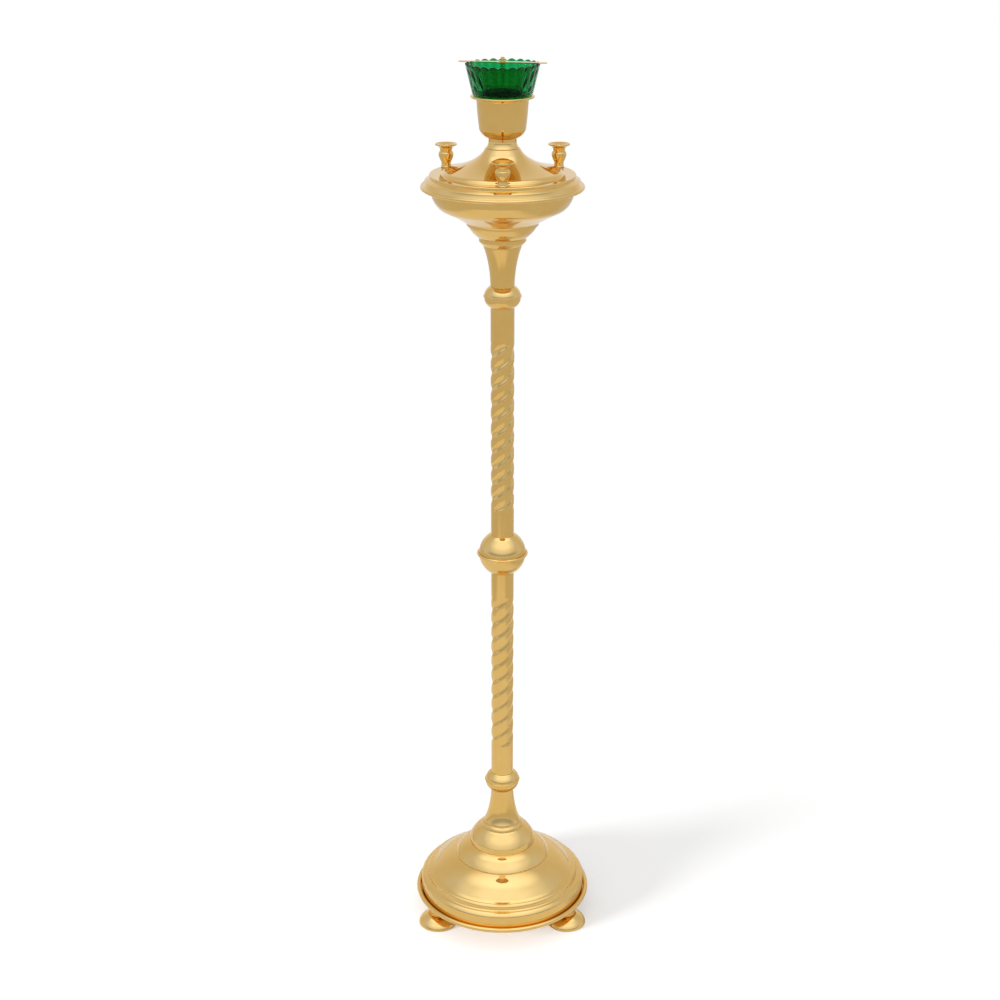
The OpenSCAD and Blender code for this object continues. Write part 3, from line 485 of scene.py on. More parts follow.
def rounded(outline: Outline, radius: float, sharp: float = math.radians(28)) -> Points:
    """Breaks the sharp corners of an outline by small rounds, smaller ones on short stretches.

    Args:
        outline: a closed outline, or a line that starts and ends on the axis.
        radius: how far back from a corner the round starts.
        sharp: least turn that counts as a corner.

    Returns:
        The outline with rounds.
    """
    points = [p for i, p in enumerate(outline) if np.linalg.norm(p - outline[i - 1]) > SAME_SPOT]
    count = len(points)
    on_axis = max(points[0][0], points[-1][0]) < AXIS_R

    def turn(i: int) -> float:
        """Returns how far the outline turns at a point."""
        a, b = points[i] - points[i - 1], points[(i + 1) % count] - points[i]
        return abs(math.atan2(a[0] * b[1] - a[1] * b[0], float(a @ b)))

    corners = [i for i in range(count) if turn(i) > sharp and not (on_axis and i in (0, count - 1))]
    if on_axis:
        corners = [0] + corners + [count - 1]
    if len(corners) < 2:
        return points
    pairs = list(zip(corners, corners[1:] if on_axis else corners[1:] + corners[:1]))
    stretches = []
    for a, b in pairs:
        stretch = points[a:b + 1] if b > a else points[a:] + points[:b + 1]
        steps = [np.linalg.norm(q - p) for p, q in zip(stretch, stretch[1:])]
        lengths = np.concatenate([[0], np.cumsum(steps)])
        cut = min(radius, ROUND_SHARE * lengths[-1])
        low = 0.0 if on_axis and a == 0 else cut
        high = lengths[-1] - (0.0 if on_axis and b == count - 1 else cut)
        marks = [low, *(s for s in lengths if low + SAME_SPOT < s < high - SAME_SPOT), high]
        stretches.append([np.array([np.interp(s, lengths, [p[k] for p in stretch]) for k in (0, 1)])
                          for s in marks])
    result: Points = []
    for k, (a, b) in enumerate(pairs):
        result += stretches[k]
        if on_axis and k == len(pairs) - 1:
            break
        result += pulled(stretches[k][-1], points[b], stretches[(k + 1) % len(pairs)][0], ROUND_STEPS)
    return result


def flipped(outline: Iterable[np.ndarray]) -> Points:
    """Returns an outline upside down, still with its outer face on the right."""
    return [np.array([p[0], -p[1]]) for p in outline][::-1]


# Meshes


def link(data: bpy.types.ID, name: str) -> Piece:
    """Puts a mesh, lamp or camera into the scene as an object at the origin and returns the object."""
    piece = bpy.data.objects.new(name, data)
    bpy.context.scene.collection.objects.link(piece)
    return piece


def lathe(name: str, outline: Outline, axis: Point, segments: int) -> Piece:
    """Spins an outline into a smooth mesh with its own UV map around the axis.

    Args:
        name: the piece's name.
        outline: a closed outline in millimetres, or a line that starts and ends on the axis.
        axis: where the upright axis stands, in metres.
        segments: number of faces around.

    Returns:
        The piece.
    """
    line = np.array(outline) * MM
    count = len(line)
    open_line = max(line[0, 0], line[-1, 0]) < AXIS_R * MM
    steps = np.diff(line, axis=0, append=line[:1])
    if open_line:
        steps[-1] = 0
    spans = np.linalg.norm(steps, axis=1)
    facing = np.stack([steps[:, 1], -steps[:, 0]], 1)
    normals = facing + np.roll(facing, 1, axis=0)
    normals /= np.maximum(np.linalg.norm(normals, axis=1, keepdims=True), NO_LENGTH)
    along = np.concatenate([[0], np.cumsum(spans)])
    turn = np.arange(segments) * FULL_TURN / segments
    around = np.stack([np.cos(turn), np.sin(turn)], 1)
    vertices, facings, rings = [], [], []
    for (radius, height), normal in zip(line, normals):
        pole = radius < AXIS_R * MM
        ring = around[:1] * 0 if pole else around
        rings.append((len(vertices), pole))
        for x, y in ring:
            vertices.append((axis[0] + radius * x, axis[1] + radius * y, height))
            facings.append((0, 0, math.copysign(1, normal[1])) if pole
                           else (normal[0] * x, normal[0] * y, normal[1]))
    faces, uvs = [], []
    for k in range(count - 1 if open_line else count):
        (low, low_pole), (high, high_pole) = rings[k], rings[(k + 1) % count]
        v0, v1 = along[k], along[k + 1]
        for i in range(segments):
            j = (i + 1) % segments
            u0, u1 = i / segments, (i + 1) / segments
            if low_pole:
                faces.append((low, high + j, high + i))
                uvs += [((u0 + u1) / 2, v0), (u1, v1), (u0, v1)]
            elif high_pole:
                faces.append((low + i, low + j, high))
                uvs += [(u0, v0), (u1, v0), ((u0 + u1) / 2, v1)]
            else:
                faces.append((low + i, low + j, high + j, high + i))
                uvs += [(u0, v0), (u1, v0), (u1, v1), (u0, v1)]
    mesh = bpy.data.meshes.new(name)
    mesh.from_pydata(vertices, [], faces)
    mesh.uv_layers.new(name="turning").data.foreach_set("uv", np.array(uvs, np.float32).ravel())
    mesh.polygons.foreach_set("use_smooth", [True] * len(mesh.polygons))
    mesh.normals_split_custom_set_from_vertices(facings)
    return link(mesh, name)


def frozen(piece: Piece) -> Piece:
    """Turns a piece's modifiers into a plain mesh and returns the piece."""
    bpy.context.view_layer.update()
    mesh = bpy.data.meshes.new_from_object(piece.evaluated_get(bpy.context.evaluated_depsgraph_get()))
    piece.modifiers.clear()
    old, piece.data = piece.data, mesh
    bpy.data.meshes.remove(old)
    mesh.name = piece.name
    return piece


def places(mesh: bpy.types.Mesh) -> np.ndarray:
    """Returns the places of a mesh's vertices in metres."""
    flat = np.empty(len(mesh.vertices) * 3)
    mesh.vertices.foreach_get("co", flat)
    return flat.reshape(-1, 3)


def wrap_uv(mesh: bpy.types.Mesh) -> None:
    """Gives a mesh about the upright axis a UV map: turn around the axis and height in metres."""
    corner = np.empty(len(mesh.loops), np.int32)
    mesh.loops.foreach_get("vertex_index", corner)
    place = places(mesh)[corner]
    turn = (np.arctan2(place[:, 1], place[:, 0]) / FULL_TURN) % 1.0
    # Faces across the seam go on past one whole turn.
    for face in mesh.polygons:
        span = slice(face.loop_start, face.loop_start + face.loop_total)
        if np.ptp(turn[span]) > 0.5:
            turn[span] = np.where(turn[span] < 0.5, turn[span] + 1, turn[span])
    layer = mesh.uv_layers.get("turning") or mesh.uv_layers.new(name="turning")
    layer.data.foreach_set("uv", np.stack([turn, place[:, 2]], 1).astype(np.float32).ravel())


class GrowingTree:
    """Geometry Nodes tree with named inputs, run once as a modifier on a piece."""

    def __init__(self, name: str, sizes: dict[str, float], counts: dict[str, int],
                 material: Material, takes_mesh: bool = False) -> None:
        """Starts the tree.

        Args:
            name: the tree's name.
            sizes: its named lengths, angles and powers.
            counts: its named whole numbers.
            material: the finish that it gives the piece.
            takes_mesh: whether it changes the piece's own mesh.
        """
        self.tree = bpy.data.node_groups.new(name, "GeometryNodeTree")
        self.values: dict[str, Any] = {}
        self.tree.interface.new_socket("Geometry", in_out="OUTPUT", socket_type="NodeSocketGeometry")
        if takes_mesh:
            self.tree.interface.new_socket("Geometry", in_out="INPUT", socket_type="NodeSocketGeometry")
        finish = {"Material": material}
        for kind, values in (("Float", sizes), ("Int", counts), ("Material", finish)):
            for label, value in values.items():
                socket = self.tree.interface.new_socket(
                    label, in_out="INPUT", socket_type=f"NodeSocket{kind}")
                self.values[socket.identifier] = value
        self.sketch = NodeSketch(self.tree)
        self.given = self.sketch.add("NodeGroupInput").outputs

    def spot(self) -> Sequence[Socket]:
        """Returns the coordinates of the point at hand."""
        return self.sketch.add("ShaderNodeSeparateXYZ", {
            0: self.sketch.add("GeometryNodeInputPosition").outputs[0]}).outputs

    def polar(self, radius: Any, angle: Any, height: Any) -> Socket:
        """Returns the vector with the given radius, angle around the axis and height."""
        calc = self.sketch.math
        x, y = (calc("MULTIPLY", radius, calc(wave, angle)) for wave in ("COSINE", "SINE"))
        return self.sketch.add("ShaderNodeCombineXYZ", {0: x, 1: y, 2: height}).outputs[0]

    def close(self, geometry: Socket) -> None:
        """Ends the tree in smooth faces, realized instances and the given material."""
        smooth = self.sketch.add("GeometryNodeSetShadeSmooth", {0: geometry}).outputs[0]
        real = self.sketch.add("GeometryNodeRealizeInstances", {0: smooth}).outputs[0]
        dressed = self.sketch.add("GeometryNodeSetMaterial", {
            "Geometry": real, "Material": self.given["Material"]}).outputs[0]
        self.sketch.add("NodeGroupOutput", {0: dressed})

    def grow(self, piece: Piece) -> Piece:
        """Runs the tree on a piece, leaves it a plain mesh and returns it."""
        modifier = piece.modifiers.new(self.tree.name, "NODES")
        modifier.node_group = self.tree
        for identifier, value in self.values.items():
            modifier[identifier] = value
        return frozen(piece)


def dress(piece: Piece, body: Body, node: str,
          material: Optional[Material] = None) -> None:
    """Gives a piece its finish, body and slot, and hides the CAD node that it stands for.

    Args:
        piece: the finished piece.
        body: the body that it rides on.
        node: the CAD node that it replaces.
        material: the finish, where the mesh doesn't carry it yet.
    """
    if material is not None:
        piece.data.materials.clear()
        piece.data.materials.append(material)
    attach(piece, body.value)
    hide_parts(node)
    LOG.info("%s: %d faces, on %s", piece.name, len(piece.data.polygons), body.value)


@dataclass
class Workshop:
    """What every sub-assembly needs: the finishes and the way turned pieces are made."""

    finishes: Finishes
    edge_round: float = 0.3
    segments: int = 216

    def turn(self, node: str, outline: Outline, body: Body = Body.STAND,
             axis: Point = (0.0, 0.0), edge: Optional[float] = None) -> None:
        """Turns one piece of brass at the height of the CAD node that it stands for.

        Args:
            node: the CAD node.
            outline: the piece's outline, at any height.
            body: the body that it rides on.
            axis: where its axis stands, in metres.
            edge: round of its edges, where it differs from the usual one.
        """
        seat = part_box(node)[0].z / MM - min(p[1] for p in outline)
        lifted = [p + (0, seat) for p in rounded(outline, self.edge_round if edge is None else edge)]
        piece = lathe(f"turned_{node}", lifted, axis, self.segments)
        dress(piece, body, node, self.finishes.turned_brass)

    def keep(self, material: Material, *nodes: str) -> None:
        """Gives CAD nodes that stay a procedural finish."""
        for node in nodes:
            slots = frame["nodes"][node].data.materials
            slots.clear()
            slots.append(material)
            LOG.info("%s: kept as packed", node)


def mount_axis(name: str) -> Point:
    """Returns where the record's mount stands on the floor plan, in metres."""
    place = next(m["pos_m"] for m in frame["record"]["mounts"] if m["name"] == name)
    return place[0], place[1]


# Sub-assemblies


@dataclass
class Base:
    """Three domed feet, the plate with its rolled rim, the stepped dome, collar and cone."""

    shop: Workshop
    foot_r: float = 22.3
    foot_dome_h: float = 14.0
    foot_edge: float = 1.0
    foot_neck_r: float = 9.0
    foot_round: float = 0.6
    plate_z: float = 22.0
    foot_hole: Point = (2.6, 9.0)
    bore_r: float = 4.3
    plate_bead_r: float = 97.4
    plate_bead: float = 2.6
    plate_t: float = 1.5
    skirt: Point = (94.3, 15.5)
    cove_foot: Point = (89.5, 20.1)
    cove_top: Point = (86.5, 23.0)
    dome_foot: Point = (83.0, 26.8)
    bead_swell: float = 1.0
    dome_flare: Point = (77.6, 30.2)
    flare_hollow: float = 0.35
    dome_swell: float = 1.7
    ring_foot: Point = (53.2, 45.8)
    ring_edge: float = 1.8
    ring_swell: float = 2.0
    band_foot: Point = (37.2, 61.0)
    band_h: float = 6.6
    hump_top: Point = (24.3, 83.0)
    hump_swell: float = 1.5
    dome_wall: float = 1.2
    collar_r: float = 24.0
    collar_top: Point = (21.3, 4.8)
    collar_swell: float = 0.5
    collar_round: float = 0.5
    cone_r: float = 20.8
    cone_lip: float = 1.2
    cone_turn: Point = (14.2, 14.0)
    cone_top: Point = (12.5, 41.8)
    cone_wall: float = 1.5

    def foot(self) -> Points:
        """Returns the outline of one foot."""
        line = Profile(0, 0).line((self.foot_r - self.foot_edge, 0))
        line.oval(self.foot_r, self.foot_dome_h, math.asin(self.foot_edge / self.foot_dome_h),
                  math.acos(self.foot_neck_r / self.foot_r))
        hole_r, hole_z = self.foot_hole
        line.line((self.foot_neck_r, self.plate_z), (hole_r, self.plate_z))
        return line.line((hole_r, hole_z), (0, hole_z)).fine

    def plate(self) -> Points:
        """Returns the outline of the plate with its rolled rim."""
        middle = (self.plate_bead_r, self.plate_bead + self.plate_t / 2)
        meeting = math.pi + math.asin((middle[1] - self.plate_t) / self.plate_bead)
        start = Profile(self.bore_r, 0).line((self.plate_bead_r, 0)).fine
        stop = Profile(self.bore_r, self.plate_t).fine
        return start + arc(middle, self.plate_bead, -math.pi / 2, meeting) + stop

    def dome(self) -> Points:
        """Returns the outline of the spun dome."""
        line = Profile(self.skirt[0], 0).line(self.skirt)
        line.bow(self.cove_foot, self.bead_swell).bow(self.cove_top, -self.bead_swell)
        line.bow(self.dome_foot, self.bead_swell).bow(self.dome_flare, -self.flare_hollow)
        line.bow(self.ring_foot, self.dome_swell)
        (ring_r, ring_z), (band_r, band_z) = self.ring_foot, self.band_foot
        line.line((ring_r, ring_z + self.ring_edge)).bow(self.band_foot, self.ring_swell)
        line.line((band_r, band_z + self.band_h)).bow(self.hump_top, self.hump_swell)
        return line.line((self.bore_r, self.hump_top[1])).sheet(self.dome_wall)

    def collar(self) -> Points:
        """Returns the outline of the collar on the dome."""
        line = Profile(self.bore_r, 0).line((self.collar_r, 0)).bow(self.collar_top, self.collar_swell)
        return line.line((self.bore_r, self.collar_top[1])).fine

    def cone(self) -> Points:
        """Returns the outline of the flared cone."""
        line = Profile(self.cone_r, 0).line((self.cone_r, self.cone_lip)).curve(self.cone_turn, self.cone_top)
        return line.line((self.bore_r, self.cone_top[1])).sheet(self.cone_wall)

    def build(self) -> None:
        """Makes and dresses the pieces of the base."""
        for side in ("left", "right", "rear"):
            axis = mount_axis(f"floor_{side}")
            self.shop.turn(f"foot_{side}", self.foot(), axis=axis, edge=self.foot_round)
        self.shop.turn("base_plate", self.plate())
        self.shop.turn("base_dome", self.dome())
        self.shop.turn("base_collar", self.collar(), edge=self.collar_round)
        self.shop.turn("base_cone", self.cone())
        self.shop.keep(self.shop.finishes.steel, "foot_screws", "base_washer", "base_nut")
        self.shop.keep(self.shop.finishes.iron, "base_ballast")


@dataclass
class FlutedTube:
    """Tube with spiral grooves that run out into plain ends, grown by Geometry Nodes."""

    node: str
    plain_bottom: float
    plain_top: float
    start_turn: float
    radius: float = 12.5
    bore_r: float = 10.5
    starts: int = 3
    lead: float = 53.4
    depth: float = 1.25
    crown: float = 2.2
    runout: float = 5.0
    segments: int = 144
    rows: int = 170
    weld: float = 0.002
    sharp: float = 50.0

    def tree(self, material: Material) -> GrowingTree:
        """Returns the tree: a grid rolled into a tube whose rows turn with the grooves."""
        low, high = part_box(self.node)
        sizes = {
            "Base Height": low.z, "Length": high.z - low.z, "Radius": self.radius * MM,
            "Bore Radius": self.bore_r * MM, "Plain Bottom": self.plain_bottom * MM,
            "Plain Top": self.plain_top * MM, "Lead": self.lead * MM, "Groove Depth": self.depth * MM,
            "Land Crown": self.crown, "Run-out": self.runout * MM,
            "Start Turn": math.radians(self.start_turn)}
        counts = {"Starts": self.starts, "Segments": self.segments, "Rows": self.rows}
        grower = GrowingTree(f"flutes_{self.node}", sizes, counts, material)
        given, calc, add = grower.given, grower.sketch.math, grower.sketch.add
        span = calc("ADD", calc("MULTIPLY", given["Rows"], 2.0), 2.0)
        grid = add("GeometryNodeMeshGrid", {
            "Size X": FULL_TURN, "Size Y": span, "Vertices X": calc("ADD", given["Segments"], 1.0),
            "Vertices Y": calc("ADD", span, 1.0)})
        spot = grower.spot()
        around = calc("ADD", spot[0], math.pi)
        step = calc("ADD", spot[1], calc("DIVIDE", span, 2.0))
        inside = calc("MULTIPLY", calc("GREATER_THAN", step, calc("ADD", given["Rows"], 0.5)),
                      calc("LESS_THAN", step, calc("SUBTRACT", span, 0.5)))
        down = calc("SUBTRACT", calc("SUBTRACT", span, 1.0), step)
        climb = calc("MINIMUM", step, calc("MAXIMUM", down, 0.0))
        height = calc("MULTIPLY", calc("DIVIDE", climb, given["Rows"]), given["Length"])
        fluted = calc("SUBTRACT", height, given["Plain Bottom"])
        rest = calc("SUBTRACT", calc("SUBTRACT", given["Length"], height), given["Plain Top"])
        ratio = calc("DIVIDE", calc("MINIMUM", fluted, rest), given["Run-out"])
        fade = grower.sketch.spread(ratio, 0.0, 1.0, 0.0, 1.0)
        period = calc("DIVIDE", FULL_TURN, given["Starts"])
        off = calc("SUBTRACT", calc("MODULO", around, period), calc("DIVIDE", period, 2.0))
        wave = calc("COSINE", calc("MULTIPLY", calc("DIVIDE", off, period), FULL_TURN))
        groove = calc("POWER", calc("DIVIDE", calc("ADD", wave, 1.0), 2.0), given["Land Crown"])
        hollow = grower.sketch.product(groove, fade, given["Groove Depth"])
        outer = calc("SUBTRACT", given["Radius"], hollow)
        radius = grower.sketch.weigh(outer, calc("SUBTRACT", 1.0, inside), given["Bore Radius"], inside)
        twist = calc("MULTIPLY", calc("DIVIDE", fluted, given["Lead"]), FULL_TURN)
        angle = calc("ADD", calc("ADD", around, twist), given["Start Turn"])
        place = grower.polar(radius, angle, calc("ADD", height, given["Base Height"]))
        rolled = add("GeometryNodeSetPosition", {0: grid.outputs[0], "Position": place})
        closed = add("GeometryNodeMergeByDistance", {0: rolled.outputs[0], "Distance": self.weld * MM})
        grower.close(closed.outputs[0])
        return grower

    def build(self, shop: Workshop) -> None:
        """Makes and dresses the tube."""
        piece = link(bpy.data.meshes.new(f"fluted_{self.node}"), f"fluted_{self.node}")
        self.tree(shop.finishes.turned_brass).grow(piece)
        wrap_uv(piece.data)
        piece.data.set_sharp_from_angle(angle=math.radians(self.sharp))
        dress(piece, Body.STAND, self.node)


@dataclass
class Column:
    """Knops, fluted tubes and the banded ball on the tie rod."""

    shop: Workshop
    knop_r: float = 18.9
    knop_h: float = 22.0
    ridge: float = 1.0
    ridge_h: float = 1.6
    ridge_round: float = 0.5
    knop_wall: float = 2.0
    seat_r: float = 12.9
    bore_r: float = 4.3
    spigot_r: float = 8.0
    ball_r: float = 25.5
    ball_wall: float = 1.8
    ball_lip: float = 0.8
    band_t: float = 2.2
    band_r: float = 26.1
    band_bead: float = 1.6
    band_in_r: float = 25.6
    tubes: tuple[FlutedTube, ...] = (
        FlutedTube("lower_tube", plain_bottom=36.0, plain_top=28.0, start_turn=80.0),
        FlutedTube("upper_tube", plain_bottom=28.0, plain_top=36.0, start_turn=39.0))

    def knop_half(self, hole_r: float) -> Profile:
        """Returns the profile of a knop's half that stands on its middle."""
        half = self.knop_h / 2
        last = math.acos(self.seat_r / self.knop_r)
        line = Profile(self.knop_r, 0)
        line.oval(self.knop_r, (half - self.ridge_h) / math.sin(last), 0, last, self.ridge_h)
        return line.line((hole_r, half))

    def knop_top(self, hole_r: float) -> Points:
        """Returns the outline of a knop's upper half with the ridge around its middle."""
        line = self.knop_half(hole_r)
        reach = self.knop_r + self.ridge
        ridge = [np.array([reach, 0.0]), np.array([reach, self.ridge_h])]
        return ridge + line.fine[1:] + line.inner(self.knop_wall)

    def knop_bottom(self, hole_r: float) -> Points:
        """Returns the outline of a knop's lower half."""
        return flipped(self.knop_half(hole_r).sheet(self.knop_wall))

    def ball_half(self) -> Points:
        """Returns the outline of the ball's upper half."""
        rim = self.band_t / 2
        first, last = math.asin((rim + self.ball_lip) / self.ball_r), math.acos(self.seat_r / self.ball_r)
        line = Profile(self.ball_r * math.cos(first), rim).oval(self.ball_r, self.ball_r, first, last)
        return line.line((self.spigot_r, self.ball_r * math.sin(last))).sheet(self.ball_wall)

    def band(self) -> Points:
        """Returns the outline of the band between the ball's halves."""
        half = self.band_t / 2
        meeting = math.acos((self.band_in_r - self.band_r) / self.band_bead)
        start = Profile(self.bore_r, -half).line((self.band_in_r, -half)).fine
        stop = Profile(self.band_in_r, half).line((self.bore_r, half)).fine
        return start + arc((self.band_r, 0), self.band_bead, -meeting, meeting) + stop

    def build(self) -> None:
        """Makes and dresses the pieces of the column."""
        self.shop.turn("lower_knop_bottom", self.knop_bottom(self.bore_r))
        self.shop.turn("lower_knop_top", self.knop_top(self.spigot_r), edge=self.ridge_round)
        self.shop.turn("upper_knop_bottom", self.knop_bottom(self.spigot_r))
        self.shop.turn("upper_knop_top", self.knop_top(self.bore_r), edge=self.ridge_round)
        for tube in self.tubes:
            tube.build(self.shop)
        self.shop.turn("ball_bottom", flipped(self.ball_half()))
        self.shop.turn("ball_band", self.band())
        self.shop.turn("ball_top", self.ball_half())
        for tube in self.tubes:
            self.shop.keep(self.shop.finishes.flat_brass, f"{tube.node}_foot_bush", f"{tube.node}_head_bush")
        self.shop.keep(self.shop.finishes.steel, "tie_rod")


@dataclass
class Head:
    """Trumpet, collar, bowl and drip pan with its three candle sockets."""

    shop: Workshop
    bore_r: float = 4.3
    tube_r: float = 12.5
    trumpet_turn: Point = (13.1, 24.2)
    trumpet_flare: Point = (19.8, 42.0)
    trumpet_h: float = 43.2
    trumpet_wall: float = 1.5
    collar_foot_r: float = 20.3
    collar_r: float = 24.3
    collar_slope_h: float = 4.6
    collar_h: float = 8.4
    collar_round: float = 0.5
    bowl_wall: float = 1.2
    bell_foot_r: float = 24.8
    bell_top: Point = (36.0, 13.0)
    bell_swell: float = 1.1
    bowl_cove_foot_r: float = 37.0
    bowl_cove_top: Point = (40.5, 17.5)
    shoulder: Point = (60.8, 28.4)
    slope_hollow: float = 0.4
    shoulder_turn: Point = (68.9, 32.2)
    wall_foot: Point = (72.2, 42.8)
    bowl_h: float = 63.5
    bowl_rim_w: float = 9.0
    pan_wall: float = 1.2
    pan_bead: float = 1.9
    pan_rim: Point = (81.6, -11.6)
    pan_rim_hollow: float = 0.4
    pan_ridge: Point = (79.0, -4.9)
    pan_ridge_swell: float = 0.1
    ledge_foot: Point = (74.4, -2.4)
    ledge_bevel: float = 0.6
    ledge_in_r: float = 62.2
    step_top: Point = (57.6, 5.0)
    step_swell: float = 0.7
    pan_turn: Point = (23.5, 13.0)
    pan_top: Point = (17.5, 27.3)
    socket_foot: Point = (5.4, 1.2)
    socket_waist: Point = (4.8, 5.2)
    socket_bulb_turn: Point = (9.8, 14.0)
    socket_neck: Point = (6.0, 16.8)
    socket_neck_rise: float = 4.3
    socket_flange: Point = (11.2, 22.7)
    socket_flange_t: float = 1.4
    socket_edge: float = 0.9
    socket_round: float = 0.4
    candle_r: float = 4.5
    candle_depth: float = 12.0
    socket_dish: float = 2.2
    socket_screw: Point = (1.6, 7.0)

    def trumpet(self) -> Points:
        """Returns the outline of the flared piece above the upper knop."""
        line = Profile(self.bore_r, 0).line((self.tube_r, 0)).curve(self.trumpet_turn, self.trumpet_flare)
        return line.line((self.trumpet_flare[0], self.trumpet_h)).sheet(self.trumpet_wall)

    def collar(self) -> Points:
        """Returns the outline of the collar under the bowl."""
        return Profile(self.bore_r, 0).line(
            (self.collar_foot_r, 0), (self.collar_r, self.collar_slope_h), (self.collar_r, self.collar_h),
            (self.bore_r, self.collar_h)).fine

    def bowl(self) -> Points:
        """Returns the outline of the bowl with the flat rim that carries the pan."""
        line = Profile(self.bore_r, 0).line((self.bell_foot_r, 0)).bow(self.bell_top, self.bell_swell)
        line.line((self.bowl_cove_foot_r, self.bell_top[1]))
        line.curve((self.bowl_cove_foot_r, self.bowl_cove_top[1]), self.bowl_cove_top)
        line.bow(self.shoulder, -self.slope_hollow).curve(self.shoulder_turn, self.wall_foot)
        line.line((self.wall_foot[0], self.bowl_h))
        rim_r, low = self.wall_foot[0] - self.bowl_rim_w, self.bowl_h - self.bowl_wall
        rim = Profile(rim_r, self.bowl_h).line((rim_r, low), (self.wall_foot[0] - self.bowl_wall, low)).fine
        return line.fine + rim + line.inner(self.bowl_wall)[1:]

    def pan(self) -> Points:
        """Returns the outline of the drip pan with its rolled rim."""
        edge_r, ledge_z = self.ledge_foot[0], self.pan_wall
        line = Profile(*self.pan_rim).bow(self.pan_ridge, -self.pan_rim_hollow)
        line.bow(self.ledge_foot, self.pan_ridge_swell)
        line.line((edge_r, ledge_z - self.ledge_bevel), (edge_r - self.ledge_bevel, ledge_z),
                  (self.ledge_in_r, ledge_z))
        line.bow(self.step_top, self.step_swell).curve(self.pan_turn, self.pan_top)
        line.line((self.bore_r, self.pan_top[1]))
        return beaded(line.inner(self.pan_wall), line.fine, self.pan_rim, self.pan_bead)

    def socket(self) -> Points:
        """Returns the outline of one candle socket."""
        (screw_r, screw_z), (neck_r, neck_z) = self.socket_screw, self.socket_neck
        flange_r, flange_z = self.socket_flange
        top = flange_z + self.socket_flange_t
        mouth = top - self.socket_dish
        line = Profile(0, screw_z).line((screw_r, screw_z), (screw_r, 0))
        line.line((self.socket_foot[0], 0), self.socket_foot)
        line.curve((self.socket_waist[0], self.socket_foot[1]), self.socket_waist)
        line.curve(self.socket_bulb_turn, self.socket_neck)
        line.curve((neck_r, neck_z + self.socket_neck_rise), self.socket_flange)
        return line.line((flange_r, top), (flange_r - self.socket_edge, top), (self.candle_r, mouth),
                         (self.candle_r, mouth - self.candle_depth), (0, mouth - self.candle_depth)).fine

    def build(self) -> None:
        """Makes and dresses the pieces of the head."""
        self.shop.turn("trumpet", self.trumpet())
        self.shop.turn("bowl_collar", self.collar(), edge=self.collar_round)
        self.shop.turn("bowl", self.bowl())
        self.shop.turn("drip_pan", self.pan())
        for side in ("front", "left", "right"):
            axis = mount_axis(f"candle_{side}")
            self.shop.turn(f"socket_{side}", self.socket(), axis=axis, edge=self.socket_round)
        self.shop.keep(self.shop.finishes.steel, "socket_screws")


